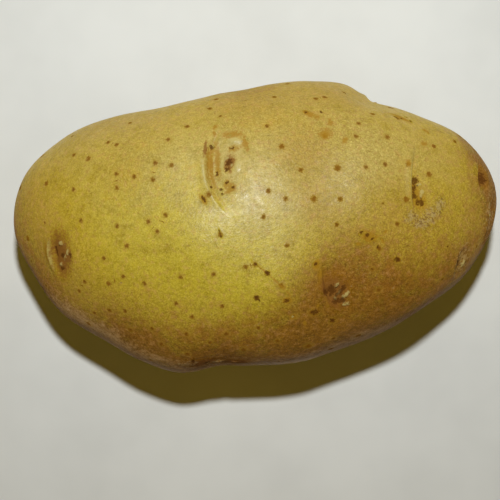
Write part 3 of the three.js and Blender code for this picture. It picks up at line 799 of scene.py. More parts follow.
@dataclass
class SkinMesh:
    """The finished skin: a ball's directions laid on the tuber, fine where forms are small."""

    flesh: Flesh = field(default_factory=Flesh)
    eyes: tuple[Eye, ...] = PHOTO_EYES + OTHER_EYES
    groups: tuple[MarkGroup, ...] = MARK_GROUPS
    stem_scar: StemScar = StemScar()
    patches: dict[Tone, tuple[Patch, ...]] = field(default_factory=lambda: PATCHES)
    ball_divisions: int = 6
    open_edge: float = 1.04
    eye_edge: float = 0.56
    photo_eye_edge: float = 0.42
    spot_edge: float = 0.46
    spot_reach: float = 1.1
    eye_margin: float = 1.05
    eye_shift: float = 0.33
    most_rounds: int = 8
    flat_cut: float = 0.65
    flat_blend: float = 0.35
    spots: Points = field(default_factory=lambda: np.zeros((0, 2)))

    def __post_init__(self) -> None:
        """Sets the eyes' and the stem scar's axes on the flesh, and the cut of the flat spot."""
        place = self.flesh.frame_at
        self.eye_frames = [place(eye.azimuth, eye.elevation, eye.turn) for eye in self.eyes]
        self.group_frames = [place(group.azimuth, group.elevation) for group in self.groups]
        self.stem_frame = place(self.stem_scar.azimuth, self.stem_scar.elevation)
        self.ways, self.triangles = self.ball()
        self.points = self.raised(self.ways)[0]
        self.cut = float(self.points[:, 2].min()) + self.flat_cut

    def ball(self) -> tuple[Points, np.ndarray]:
        """Returns an even ball's unit directions and its triangles."""
        shell = bmesh.new()
        bmesh.ops.create_icosphere(shell, subdivisions=self.ball_divisions, radius=1.0)
        ways = unit(np.array([vert.co[:] for vert in shell.verts]))
        triangles = np.array([[vert.index for vert in face.verts] for face in shell.faces])
        shell.free()
        return ways, triangles

    def raised(self, ways: Points) -> tuple[Points, dict[str, Values]]:
        """Lays directions on the tuber, with its eyes and its scar.

        Args:
            ways: Unit directions.

        Returns:
            The points of the skin, and each colour layer's cover on them by its name.
        """
        start = self.flesh.point(ways)
        points = start.copy()
        covers: dict[str, Values] = {}
        forms = [*zip(self.eyes, self.eye_frames), *zip(self.groups, self.group_frames)]
        forms.append((self.stem_scar, self.stem_frame))
        for form, skin_frame in forms:
            layers = form.layers(skin_frame, start)
            points += skin_frame.out * layers.pop("rise")[:, None]
            for name, cover in layers.items():
                covers[name] = np.maximum(covers.get(name, 0.0), cover)
        return points, covers

    def edge_limit(self, points: Points) -> Values:
        """Returns the longest edge that the mesh may have at each point."""
        limit = np.full(len(points), self.open_edge)
        sizes = [(skin_frame, eye.brow / 2, self.photo_eye_edge if eye.marks else self.eye_edge)
                 for eye, skin_frame in zip(self.eyes, self.eye_frames)]
        for group, skin_frame in zip(self.groups, self.group_frames):
            sizes.append((skin_frame, group.size, self.photo_eye_edge))
        sizes.append((self.stem_frame, self.stem_scar.radius, self.eye_edge))
        for skin_frame, size, edge in sizes:
            ahead, aside, out = skin_frame.local(points)
            away = np.hypot(ahead - self.eye_shift * size, aside)
            near = (away < self.eye_margin * size) & (np.abs(out) < size)
            limit[near] = np.minimum(limit[near], edge)
        for x, y in self.spots:
            near = np.hypot(points[:, 0] - x, points[:, 1] - y) < self.spot_reach
            limit[near & (points[:, 2] > 0)] = self.spot_edge
        return limit

    def split_long_edges(self) -> bool:
        """Splits each edge that is longer than its place allows.

        Returns:
            Whether any edge was split.
        """
        sides = self.triangles[:, [[0, 1], [1, 2], [2, 0]]].reshape(-1, 2)
        edges, edge_of = np.unique(np.sort(sides, axis=1), axis=0, return_inverse=True)
        first, second = self.points[edges[:, 0]], self.points[edges[:, 1]]
        long = np.linalg.norm(first - second, axis=1) > self.edge_limit((first + second) / 2)
        if not long.any():
            return False
        middle_of = np.full(len(edges), -1)
        middle_of[long] = len(self.ways) + np.arange(long.sum())
        ways = unit(self.ways[edges[long, 0]] + self.ways[edges[long, 1]])
        self.ways = np.concatenate([self.ways, ways])
        self.points = np.concatenate([self.points, self.raised(ways)[0]])
        self.triangles = self.cut_triangles(middle_of[edge_of].reshape(-1, 3))
        return True

    def cut_triangles(self, middles: np.ndarray) -> np.ndarray:
        """Cuts the triangles at the middles of their split edges.

        Args:
            middles: Three numbers for each triangle, the new points on its sides or -1.

        Returns:
            The new triangles.
        """
        count = (middles >= 0).sum(1)
        # Turned so that a single split lies on the first side, and a missing one on the last.
        turn = np.where(count == 1, np.argmax(middles >= 0, 1), (np.argmin(middles, 1) + 1) % 3)
        turn[(count == 0) | (count == 3)] = 0
        order = (np.arange(3) + turn[:, None]) % 3
        a, b, c = np.take_along_axis(self.triangles, order, 1).T
        ab, bc, ca = np.take_along_axis(middles, order, 1).T
        ways_across = ((a, bc), (ab, c))
        lengths = [np.linalg.norm(self.points[p] - self.points[q], axis=1) for p, q in ways_across]
        short = lengths[0] < lengths[1]
        cases: list[tuple[np.ndarray, tuple[tuple[np.ndarray, ...], ...]]] = [
            (count == 0, ((a, b, c),)),
            (count == 1, ((a, ab, c), (ab, b, c))),
            ((count == 2) & short, ((ab, b, bc), (a, ab, bc), (a, bc, c))),
            ((count == 2) & ~short, ((ab, b, bc), (a, ab, c), (ab, bc, c))),
            (count == 3, ((a, ab, ca), (ab, b, bc), (ca, bc, c), (ab, bc, ca))),
        ]
        return np.concatenate(
            [np.stack(corners, 1)[chosen] for chosen, parts in cases for corners in parts]
        )

    def flattened(self, heights: Values) -> Values:
        """Returns heights with the part under the cut drawn up to it, smoothly."""
        over = heights - self.cut
        blend = (over + self.flat_blend) ** 2 / (4 * self.flat_blend)
        drawn_up = np.where(over <= -self.flat_blend, 0.0, blend)
        return np.where(over >= self.flat_blend, over, drawn_up)

    def tone_layers(self, points: Points) -> dict[str, Values]:
        """Returns the cover of each broad tone on finished points."""
        covers = {}
        for tone in Tone:
            bare = np.ones(len(points))
            for patch in self.patches[tone]:
                away = np.linalg.norm(points - np.array([patch.x, patch.y, patch.z]), axis=1)
                bare *= 1 - patch.strength * bell(away, 0, patch.reach)
            covers[tone.value] = 1 - bare
        return covers

    def build(self, name: str) -> bpy.types.Object:
        """Refines the mesh, sets it on its flat spot and stores its colour layers.

        Args:
            name: The new object's name.

        Returns:
            The skin as a Blender object, in metres.
        """
        for _ in range(self.most_rounds):
            if not self.split_long_edges():
                break
        points, covers = self.raised(self.ways)
        points[:, 2] = self.flattened(points[:, 2])
        low, high = (np.array(corner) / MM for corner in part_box(NODE))
        middle = (points.min(0) + points.max(0)) / 2
        points[:, :2] += ((low + high) / 2 - middle)[:2]
        covers.update(self.tone_layers(points))
        mesh = bpy.data.meshes.new(name)
        mesh.from_pydata(points * MM, [], self.triangles)
        mesh.polygons.foreach_set("use_smooth", np.ones(len(mesh.polygons), dtype=bool))
        for layer, cover in covers.items():
            attribute = mesh.attributes.new(layer, "FLOAT", "POINT")
            attribute.data.foreach_set("value", np.clip(cover, 0, 1).astype(np.float32))
        skin = bpy.data.objects.new(name, mesh)
        bpy.context.scene.collection.objects.link(skin)
        LOG.info("%s: %d triangles", name, len(self.triangles))
        return skin


# Node trees, written as sums


class Socket:
    """An output of a node tree, on which + - * and / add Math nodes."""

    def __init__(self, graph: Graph, link: bpy.types.NodeSocket) -> None:
        """Keeps the output and the tree it belongs to."""
        self.graph = graph
        self.link = link

    def __add__(self, other: Term) -> Socket:
        """Returns self + other."""
        return self.graph.maths("ADD", self, other)

    def __radd__(self, other: Term) -> Socket:
        """Returns other + self."""
        return self.graph.maths("ADD", other, self)

    def __sub__(self, other: Term) -> Socket:
        """Returns self - other."""
        return self.graph.maths("SUBTRACT", self, other)

    def __rsub__(self, other: Term) -> Socket:
        """Returns other - self."""
        return self.graph.maths("SUBTRACT", other, self)

    def __mul__(self, other: Term) -> Socket:
        """Returns self * other."""
        return self.graph.maths("MULTIPLY", self, other)

    def __rmul__(self, other: Term) -> Socket:
        """Returns other * self."""
        return self.graph.maths("MULTIPLY", other, self)

    def __truediv__(self, other: Term) -> Socket:
        """Returns self / other."""
        return self.graph.maths("DIVIDE", self, other)

    def rise(self, low: float, high: float) -> Socket:
        """Returns 0 below low, 1 above high, and a smooth rise between."""
        settings = {"interpolation_type": "SMOOTHSTEP"}
        inputs = {"Value": self, "From Min": low, "From Max": high}
        return self.graph.node("ShaderNodeMapRange", settings, inputs, "Result")

    def fall(self, low: float, high: float) -> Socket:
        """Returns 1 below low, 0 above high, and a smooth fall between."""
        return 1.0 - self.rise(low, high)


Term = Socket | float
Anything = Socket | float | str | bool | tuple | list | Vector | bpy.types.ID


class Graph:
    """A node tree that is filled by calls, each of which returns an output."""

    def __init__(self, tree: bpy.types.NodeTree) -> None:
        """Empties the tree."""
        self.tree = tree
        tree.nodes.clear()

    @staticmethod
    def pick(sockets: bpy.types.bpy_prop_collection, key: str | int) -> bpy.types.NodeSocket:
        """Finds a socket by its number, its identifier or its name.

        Args:
            sockets: A node's inputs or outputs.
            key: What to look for.

        Returns:
            The socket.
        """
        if isinstance(key, int):
            return sockets[key]
        for socket in sockets:
            if socket.identifier == key:
                return socket
        return next(socket for socket in sockets if socket.name == key and socket.enabled)

    def node(self, kind: str, settings: dict[str, object] | None = None,
             inputs: dict[str | int, Anything] | None = None, output: str | int = 0) -> Socket:
        """Adds a node.

        Args:
            kind: The node's type.
            settings: Its properties, set before the values.
            inputs: Values or links, by a socket's identifier, name or number.
            output: Which output to return.

        Returns:
            That output.
        """
        made = self.tree.nodes.new(kind)
        for key, value in (settings or {}).items():
            setattr(made, key, value)
        for key, value in (inputs or {}).items():
            socket = self.pick(made.inputs, key)
            for item in value if isinstance(value, list) else [value]:
                if isinstance(item, Socket):
                    self.tree.links.new(item.link, socket)
                else:
                    socket.default_value = item
        return Socket(self, self.pick(made.outputs, output) if len(made.outputs) else None)

    def maths(self, operation: str, *terms: Term) -> Socket:
        """Adds a Math node and returns its result."""
        return self.node("ShaderNodeMath", {"operation": operation}, dict(enumerate(terms)))

    def vector_maths(self, operation: str, *terms: Anything, output: str = "Vector") -> Socket:
        """Adds a Vector Math node and returns one of its results."""
        inputs = dict(enumerate(terms))
        return self.node("ShaderNodeVectorMath", {"operation": operation}, inputs, output)

    def scaled(self, vector: Anything, factor: Term) -> Socket:
        """Returns a vector times a number."""
        inputs = {"Vector": vector, "Scale": factor}
        return self.node("ShaderNodeVectorMath", {"operation": "SCALE"}, inputs, "Vector")

    def layer(self, name: str, output: str = "Fac") -> Socket:
        """Returns an attribute of the mesh."""
        return self.node("ShaderNodeAttribute", {"attribute_name": name}, None, output)

    def noise(self, place: Socket, scale: float, detail: float = 2.0, rough: float = 0.5) -> Socket:
        """Returns cloudy noise between 0 and 1, with scale in waves per unit of place."""
        inputs = {"Vector": place, "Scale": scale, "Detail": detail, "Roughness": rough}
        return self.node("ShaderNodeTexNoise", None, inputs, "Fac")

    def blend(self, cover: Term, below: Anything, above: Anything) -> Socket:
        """Returns a colour laid over another by its cover."""
        settings = {"data_type": "RGBA", "blend_type": "MIX", "clamp_factor": True}
        inputs = {"Factor_Float": cover, "A_Color": below, "B_Color": above}
        return self.node("ShaderNodeMix", settings, inputs, "Result_Color")


def linear(code: str) -> tuple[float, float, float, float]:
    """Turns a colour code into the linear values that sockets take.

    Args:
        code: Red, green and blue as six hexadecimal digits after a hash.

    Returns:
        Red, green, blue and an alpha of one.
    """
    parts = [int(code[i:i + 2], 16) / 255 for i in (1, 3, 5)]
    # The usual curve of a screen's colours, with its straight foot.
    red, green, blue = (p / 12.92 if p <= 0.04045 else ((p + 0.055) / 1.055) ** 2.4 for p in parts)
    return red, green, blue, 1.0


# Lenticels


@dataclass
class Lenticels:
    """The cork pores: some where the photograph shows them, the rest scattered on the skin."""

    spacing: float = 5.2
    per_square_cm: float = 2.6
    smallest: float = 0.26
    largest: float = 0.78
    pit: float = 0.07
    swelling: float = 0.05
    grain: float = 0.05
    grain_scale: float = 0.42
    grain_detail: float = 3.0
    grain_rough: float = 0.6
    kept_clear: Span = (3.0, 5.0)
    swelling_edge: Span = (0.3, 2.0)
    pit_edge: Span = (0.0, 0.8)
    upper_side: float = 0.05
    seed: int = 11
    places: tuple[tuple[float, float], ...] = (
        (-18.6, 17.9), (-14.8, 20.9), (-29.9, 17.3), (-32.0, 17.6), (-39.8, 15.0), (-21.0, 13.1),
        (-17.8, 12.4), (-25.5, 10.0), (-29.5, 10.5), (-29.4, 7.5), (-21.4, 9.3), (-39.1, 7.9),
        (-18.5, 1.6), (-22.8, 0.4), (-29.6, -0.6), (-20.6, -1.8), (-37.6, 0.8), (-7.4, -2.2),
        (3.0, 6.8), (6.4, 5.1), (1.6, 1.6), (6.8, -4.8), (-2.2, -9.1), (-0.1, -8.4), (2.4, -10.3),
        (-8.9, -10.3), (-15.7, -11.0), (-23.7, -12.9), (-28.2, -11.3), (-32.8, -7.2),
        (-37.1, -12.5), (-38.6, -14.5), (-16.6, -16.9), (-13.2, -19.5), (-6.8, -17.1),
        (0.1, -15.7), (6.6, -16.0), (5.4, -13.0), (12.0, -18.8), (8.0, -19.7), (0.8, -21.9),
        (-6.3, -23.2), (-9.9, -25.3), (-14.7, -23.3), (-35.5, -19.4), (-31.4, -18.5),
        (-28.4, -18.5), (-27.1, -23.0), (-22.1, -22.3), (-20.5, -25.9), (4.6, -25.1),
        (16.5, -20.6), (12.7, -8.4), (17.7, 5.0), (23.3, 11.8), (27.3, 12.6), (23.2, -2.6),
        (26.1, -5.3), (30.3, -7.6), (30.0, 0.0), (26.4, -14.0), (10.9, 23.9), (14.8, 18.7),
        (21.5, 18.8), (2.7, 20.8), (15.3, 27.9), (13.1, 27.6), (4.3, 27.7), (22.2, 21.7),
        (26.0, 24.0), (31.3, 23.4), (-9.8, 25.3), (32.7, 12.9),
    )

    def places_object(self, skin: bpy.types.Object) -> bpy.types.Object:
        """Sets a loose point on the skin's upper side at each place.

        Args:
            skin: The finished skin.

        Returns:
            An object that holds only those points.
        """
        mesh = skin.data
        spots = np.zeros(len(mesh.vertices) * 3)
        normals = np.zeros(len(mesh.vertices) * 3)
        mesh.vertices.foreach_get("co", spots)
        mesh.vertices.foreach_get("normal", normals)
        spots, normals = spots.reshape(-1, 3), normals.reshape(-1, 3)
        upper = spots[normals[:, 2] > self.upper_side]
        plan = upper[:, :2]
        nearest = [np.argmin(np.hypot(*(plan - np.array(place) * MM).T)) for place in self.places]
        points = bpy.data.meshes.new("lenticel_places")
        points.from_pydata(upper[nearest], [], [])
        holder = bpy.data.objects.new("lenticel_places", points)
        bpy.context.scene.collection.objects.link(holder)
        return holder

    def tree(self) -> bpy.types.GeometryNodeTree:
        """Builds the node tree that scatters the pores and works them into the skin."""
        tree = bpy.data.node_groups.new("lenticels", "GeometryNodeTree")
        graph = Graph(tree)
        add = tree.interface.new_socket
        add("Geometry", in_out="INPUT", socket_type="NodeSocketGeometry")
        add("Geometry", in_out="OUTPUT", socket_type="NodeSocketGeometry")
        add("Places", in_out="INPUT", socket_type="NodeSocketObject")
        add("Material", in_out="INPUT", socket_type="NodeSocketMaterial")
        for name in ("Spacing", "Density", "Smallest", "Largest", "Pit", "Swelling", "Grain"):
            add(name, in_out="INPUT", socket_type="NodeSocketFloat")
        add("Grain scale", in_out="INPUT", socket_type="NodeSocketFloat")
        add("Seed", in_out="INPUT", socket_type="NodeSocketInt")
        entry = tree.nodes.new("NodeGroupInput")

        def given(name: str) -> Socket:
            """Returns one of the tree's own inputs."""
            return Socket(graph, entry.outputs[name])

        def named(name: str) -> Socket:
            """Returns a layer that the skin already has."""
            settings, inputs = {"data_type": "FLOAT"}, {"Name": name}
            return graph.node("GeometryNodeInputNamedAttribute", settings, inputs, "Attribute")

        def stored(geometry: Socket, name: str, value: Socket, kind: str = "FLOAT") -> Socket:
            """Returns geometry with a new layer."""
            settings = {"data_type": kind, "domain": "POINT"}
            inputs = {"Geometry": geometry, "Name": name, "Value": value}
            return graph.node("GeometryNodeStoreNamedAttribute", settings, inputs, "Geometry")

        skin = given("Geometry")
        position = graph.node("GeometryNodeInputPosition")
        normal = graph.node("GeometryNodeInputNormal")
        shown = graph.node("GeometryNodeObjectInfo", None, {"Object": given("Places")}, "Geometry")
        shown = graph.node("GeometryNodeMeshToPoints", None, {"Mesh": shown}, "Points")
        from_shown = graph.node(
            "GeometryNodeProximity", {"target_element": "POINTS"}, {0: shown}, "Distance")
        clear_of_shown = from_shown.rise(*(reach * MM for reach in self.kept_clear))
        bare = (1.0 - named("hollow")) * clear_of_shown
        scatter = {
            "Mesh": skin, "Distance Min": given("Spacing"), "Density Max": given("Density"),
            "Density Factor": bare, "Seed": given("Seed"),
        }
        scattered = graph.node(
            "GeometryNodeDistributePointsOnFaces", {"distribute_method": "POISSON"}, scatter,
            "Points")
        pores = graph.node("GeometryNodeJoinGeometry", None, {"Geometry": [scattered, shown]})
        chance = graph.node(
            "FunctionNodeRandomValue", {"data_type": "FLOAT"},
            {"Min_001": given("Smallest"), "Max_001": given("Largest"), "Seed": given("Seed")},
            "Value_001")
        pores = stored(pores, "pore_radius", chance)
        nearest = graph.node(
            "GeometryNodeSampleNearest", {"domain": "POINT"}, {"Geometry": pores}, "Index")

        def sampled(value: Socket, kind: str) -> Socket:
            """Returns a value of the nearest pore."""
            settings = {"data_type": kind, "domain": "POINT"}
            inputs = {"Geometry": pores, "Value": value, "Index": nearest}
            return graph.node("GeometryNodeSampleIndex", settings, inputs, "Value")

        offset = graph.vector_maths("SUBTRACT", position, sampled(position, "FLOAT_VECTOR"))
        away = graph.vector_maths("LENGTH", offset, output="Value")
        radius = sampled(named("pore_radius"), "FLOAT")
        share = away / radius
        skin = stored(skin, "pore_offset", graph.scaled(offset, 1 / MM), "FLOAT_VECTOR")
        skin = stored(skin, "pore_distance", away / MM)
        skin = stored(skin, "pore_radius", radius / MM)
        swelling = given("Swelling") * share.fall(*self.swelling_edge)
        relief = swelling - given("Pit") * share.fall(*self.pit_edge)
        cloud = graph.noise(position, given("Grain scale"), self.grain_detail, self.grain_rough)
        relief = relief + given("Grain") * (cloud - 0.5)
        inputs = {"Geometry": skin, "Offset": graph.scaled(normal, relief)}
        skin = graph.node("GeometryNodeSetPosition", None, inputs, "Geometry")
        skin = graph.node("GeometryNodeRealizeInstances", None, {"Geometry": skin}, "Geometry")
        inputs = {"Geometry": skin, "Material": given("Material")}
        skin = graph.node("GeometryNodeSetMaterial", None, inputs, "Geometry")
        leave = tree.nodes.new("NodeGroupOutput")
        tree.links.new(skin.link, leave.inputs["Geometry"])
        return tree

    def work_into(self, skin: bpy.types.Object, material: bpy.types.Material) -> None:
        """Scatters the pores, works them into the skin's mesh and gives it its material.

        Args:
            skin: The finished skin, whose mesh is replaced.
            material: The skin's material.
        """
        holder = self.places_object(skin)
        tree = self.tree()
        modifier = skin.modifiers.new("lenticels", "NODES")
        modifier.node_group = tree
        sizes = {
            "Places": holder,
            "Material": material,
            "Spacing": self.spacing * MM,
            "Density": self.per_square_cm * SQUARE_CM,
            "Smallest": self.smallest * MM,
            "Largest": self.largest * MM,
            "Pit": self.pit * MM,
            "Swelling": self.swelling * MM,
            "Grain": self.grain * MM,
            "Grain scale": self.grain_scale / MM,
            "Seed": self.seed,
        }
        for item in tree.interface.items_tree:
            if item.name in sizes:
                modifier[item.identifier] = sizes[item.name]
        skin.update_tag()
        graph = bpy.context.evaluated_depsgraph_get()
        worked = bpy.data.meshes.new_from_object(
            skin.evaluated_get(graph), preserve_all_data_layers=True, depsgraph=graph)
        skin.modifiers.remove(modifier)
        rough = skin.data
        skin.data = worked
        worked.name = rough.name
        bpy.data.meshes.remove(rough)
        points = holder.data
        bpy.data.objects.remove(holder)
        bpy.data.meshes.remove(points)
        LOG.info("%s: %d faces with its lenticels", skin.name, len(worked.polygons))


# Finishes


class Waves(NamedTuple):
    """Cloudy noise: its waves in a millimetre, its detail and its roughness."""

    scale: float
    detail: float
    rough: float


@dataclass(frozen=True)
class Coat:
    """A colour laid where one of the skin's layers is strong, with its edge broken by noise."""

    layer: str
    colour: str
    broken: float
    start: float
    full: float
    cover: float

    def over(self, graph: Graph, paint: Socket, noise: Socket) -> Socket:
        """Lays the coat over the paint.

        Args:
            graph: The material's tree.
            paint: The colour so far.
            noise: What breaks the coat's edge.

        Returns:
            The colour with the coat on it.
        """
        strength = graph.layer(self.layer) + noise * self.broken
        shown = strength.rise(self.start, self.full) * self.cover
        return graph.blend(shown, paint, linear(self.colour))


@dataclass(frozen=True)
class SkinFinish:
    """The potato's skin: thin yellow-brown cork, waxy where smooth and dull where russet."""

    ochre: str = "#a88e22"
    # the pale colour of the painted highlight on the top, also pale skin
    cream: str = "#ac974a"
    # grey-brown of dust on the low front flank, also painted light bounced up from the floor
    dusty_bounce_light: str = "#a08052"
    dusk: str = "#5c3c0e"
    blush: str = "#a07440"
    # pale specks: dust, and a painted sparkle in the highlight
    dust_and_sparkle: str = "#c0b078"
    crack: str = "#74450a"
    halo: str = "#9b7c22"
    pore: str = "#74480f"
    pore_heart: str = "#4a2a08"
    scuff_dark: str = "#694c24"
    tones: tuple[Coat, ...] = (
        Coat("gold", "#ae9a22", 1.0, 0.1, 0.9, 0.8),
        # tan, which also paints shade along the limbs
        Coat("tan", "#9b7c22", 1.0, 0.1, 0.95, 0.75),
        # dark russet brown, which also paints shade on the front flank
        Coat("russet", "#74450a", 1.0, 0.1, 0.95, 0.85),
    )
    low_marks: tuple[Coat, ...] = (
        Coat("pale", "#b8a468", 0.6, 0.1, 0.9, 0.4),
        # pale skin and a painted highlight on each brow's ridge
        Coat("brow", "#b0a060", 0.3, 0.15, 0.9, 0.6),
        # painted shade in the crease inside each brow
        Coat("crease", "#946c1a", 1.0, 0.3, 1.0, 0.6),
        # orange-brown stains, also painted shade in creases
        Coat("stain", "#946c1a", 1.0, 0.25, 0.95, 0.8),
        # purple-brown, also painted shade in creases and hollows
        Coat("bruise", "#764a20", 0.6, 0.2, 0.9, 0.8),
        Coat("scuff", "#a08a5e", 1.5, 0.5, 1.1, 0.5),
    )
    top_marks: tuple[Coat, ...] = (
        Coat("flake", "#b0a060", 1.0, 0.4, 1.0, 0.7),
        Coat("scar", "#502e0a", 1.0, 0.4, 0.85, 0.85),
    )
    clouds: Waves = Waves(0.075, 3.0, 0.55)
    blotches: Waves = Waves(0.24, 3.0, 0.55)
    mottling: Waves = Waves(0.45, 4.0, 0.6)
    patches: Waves = Waves(0.8, 3.0, 0.6)
    blushes: Waves = Waves(0.9, 2.0, 0.5)
    pebbles: Waves = Waves(1.1, 3.0, 0.6)
    grains: Waves = Waves(1.2, 3.0, 0.6)
    specks: Waves = Waves(2.1, 3.0, 0.6)
    pore_edges: Waves = Waves(2.4, 2.0, 0.5)
    fine_relief: Waves = Waves(3.2, 3.0, 0.6)
    fine_grains: Waves = Waves(3.4, 2.0, 0.5)
    grain_tint: tuple[float, float, float] = (0.9, 1.0, 1.5)
    darkest_grain: float = -0.8
    flank_height: Span = (32.0, 46.0)
    flank_front: Span = (8.0, 24.0)
    pore_wobble: float = 1.3
    pore_reach: Span = (1.5, 2.2)
    pore_edge: Span = (0.35, 1.3)
    heart_edge: Span = (0.0, 0.7)
    halo_edge: Span = (0.8, 2.6)
    pore_cover: float = 0.85
    heart_cover: float = 0.8
    halo_cover: float = 0.3
    crack_scale: float = 1.3
    crack_width: float = 0.2
    crack_cover: float = 0.4
    sway_scale: float = 0.7
    sway: float = 1.6
    pebble_height: float = 0.10
    grain_height: float = 0.03
    scuff_height: float = 0.12
    crack_depth: float = 0.035
    pore_rise: float = 0.03
    pore_sink: float = 0.08
    roughness: float = 0.46
    patchy: float = 0.5
    dull: float = 0.35
    cork: float = 0.5
    cork_shine: float = 0.06
    diffuse_roughness: float = 0.35
    sheen: float = 0.05
    sheen_roughness: float = 0.45
    sheen_tint: str = "#b8a050"
    ior: float = 1.42

    def material(self) -> bpy.types.Material:
        """Builds the material."""
        made = bpy.data.materials.new("potato_skin")
        made.use_nodes = True
        graph = Graph(made.node_tree)
        place = graph.scaled(graph.node("ShaderNodeTexCoord", output="Object"), 1 / MM)
        pores = self.pores(graph, place)
        cracks = self.cracks(graph, place)
        surface = {
            "Base Color": self.colour(graph, place, pores, cracks),
            "Roughness": self.gloss(graph, place, pores),
            "Normal": self.relief(graph, place, pores, cracks),
            "IOR": self.ior,
            "Diffuse Roughness": self.diffuse_roughness,
        }
        wax = surface | {
            "Sheen Weight": self.sheen,
            "Sheen Roughness": self.sheen_roughness,
            "Sheen Tint": linear(self.sheen_tint),
        }
        cork = surface | {"Specular IOR Level": self.cork_shine}
        mixed = {
            "Fac": self.corkiness(graph, pores),
            1: graph.node("ShaderNodeBsdfPrincipled", None, wax, "BSDF"),
            2: graph.node("ShaderNodeBsdfPrincipled", None, cork, "BSDF"),
        }
        shader = graph.node("ShaderNodeMixShader", None, mixed, "Shader")
        graph.node("ShaderNodeOutputMaterial", None, {"Surface": shader})
        return made

    def corked(self, graph: Graph, pores: dict[str, Socket]) -> Socket:
        """Returns the cover of the pores and the corky marks together."""
        marks = graph.layer("scar") + graph.layer("bruise") + graph.layer("stain") * 0.5
        return pores["spot"] + marks

    def corkiness(self, graph: Graph, pores: dict[str, Socket]) -> Socket:
        """Returns how far the waxy skin has given way to matt cork."""
        dull = graph.layer("russet") + graph.layer("net") * 0.4 + graph.layer("tan") * 0.3
        return dull.rise(0.0, 1.4) * 0.7 + self.corked(graph, pores).rise(0.0, 0.8) * 0.8

    def pores(self, graph: Graph, place: Socket) -> dict[str, Socket]:
        """Draws the lenticels round the offsets that the skin stores.

        Args:
            graph: The material's tree.
            place: Where the surface is, in millimetres.

        Returns:
            The cover of the pores' spot, heart and halo.
        """
        offset = graph.layer("pore_offset", "Vector")
        away = graph.vector_maths("LENGTH", offset, output="Value")
        wobble = graph.noise(place, *self.pore_edges) - 0.5
        radius = graph.layer("pore_radius")
        share = away / radius + wobble * self.pore_wobble
        near = graph.layer("pore_distance").fall(*self.pore_reach)
        strength = 0.45 + 0.55 * radius.rise(0.3, 0.65)
        return {
            "spot": share.fall(*self.pore_edge) * near * strength,
            "heart": share.fall(*self.heart_edge) * near * radius.fall(0.45, 0.7),
            "halo": share.fall(*self.halo_edge) * near,
        }

    def cracks(self, graph: Graph, place: Socket) -> Socket:
        """Returns the cover of the fine wavy cracks that net the rougher skin."""
        inputs = {"Vector": place, "Scale": self.sway_scale}
        sway = graph.node("ShaderNodeTexNoise", None, inputs, "Color")
        waved = graph.vector_maths("ADD", place, graph.scaled(sway, self.sway))
        net = graph.node(
            "ShaderNodeTexVoronoi", {"feature": "DISTANCE_TO_EDGE"},
            {"Vector": waved, "Scale": self.crack_scale, "Randomness": 1.0}, "Distance")
        rough = graph.layer("net") * 0.8 + graph.layer("russet") * 0.4
        return net.fall(0.0, self.crack_width) * rough

    def colour(
        self, graph: Graph, place: Socket, pores: dict[str, Socket], cracks: Socket
    ) -> Socket:
        """Paints the skin's colour, from the broad tones to the marks in the eyes, painted shade
        and highlight among them.

        Args:
            graph: The material's tree.
            place: Where the surface is, in millimetres.
            pores: The lenticels' covers.
            cracks: The cracks' cover.

        Returns:
            The colour.
        """
        cloud = graph.noise(place, *self.clouds)
        mottle = graph.noise(place, *self.mottling)
        grain = graph.noise(place, *self.grains)
        speck = graph.noise(place, *self.specks)
        blotch = graph.noise(place, *self.blotches)
        fine = graph.noise(place, *self.fine_grains)
        drift = (mottle - 0.5) * 0.8 + (blotch - 0.5) * 1.0
        # The cream cover is partly a painted highlight, spread over the top centre
        cream = (graph.layer("cream") + drift + (cloud - 0.5) * 0.8).rise(0.0, 1.0)
        paint = graph.blend(cream, linear(self.ochre), linear(self.cream))
        for coat in self.tones:
            paint = coat.over(graph, paint, drift)
        # Low on the front flank: dust, and painted light bounced up from the floor onto the shaded
        # side
        dusty_bounce_light = (self.flank(graph, place) * 1.3 + drift + (grain - 0.5) * 0.8).rise(0.3, 1.1)
        paint = graph.blend(dusty_bounce_light * 0.8, paint, linear(self.dusty_bounce_light))
        russet = graph.layer("russet")
        fleck = speck.rise(0.56, 0.72) * (0.16 + 0.4 * russet + 0.25 * graph.layer("net"))
        paint = graph.blend(fleck, paint, linear(self.dusk))
        blush = graph.noise(place, *self.blushes).rise(0.5, 0.7) * 0.3
        paint = graph.blend(blush, paint, linear(self.blush))
        rough = (fine - 0.5) * 0.9 + (grain - 0.5) * 0.8
        rough = rough + (mottle - 0.5) * 0.6 + (blotch - 0.5) * 0.5
        paint = self.grained(graph, paint, rough * (1.0 + 0.8 * russet))
        # Pale specks: some dust everywhere, and more in the painted highlight as its broken sparkle
        dust_and_sparkle = fine.rise(0.5, 0.8) * (0.1 + 0.25 * graph.layer("cream"))
        paint = graph.blend(dust_and_sparkle, paint, linear(self.dust_and_sparkle))
        paint = graph.blend(cracks * self.crack_cover, paint, linear(self.crack))
        paint = graph.blend(pores["halo"] * self.halo_cover, paint, linear(self.halo))
        paint = graph.blend(pores["spot"] * self.pore_cover, paint, linear(self.pore))
        paint = graph.blend(pores["heart"] * self.heart_cover, paint, linear(self.pore_heart))
        broken = (speck - 0.5) * 1.4 + (grain - 0.5) * 1.8
        for coat in self.low_marks:
            paint = coat.over(graph, paint, broken)
        pitted = graph.layer("scuff").rise(0.1, 0.6) * speck.fall(0.4, 0.5) * 0.75
        paint = graph.blend(pitted, paint, linear(self.scuff_dark))
        for coat in self.top_marks:
            paint = coat.over(graph, paint, broken)
        return paint

    def flank(self, graph: Graph, place: Socket) -> Socket:
        """Returns how far a place is low on the front flank, where dust and painted bounce light
        from the floor are laid.
        """
        height = graph.node("ShaderNodeSeparateXYZ", None, {"Vector": place}, "Z")
        back = graph.node("ShaderNodeSeparateXYZ", None, {"Vector": place}, "Y")
        return height.fall(*self.flank_height) * (0.0 - back).rise(*self.flank_front)

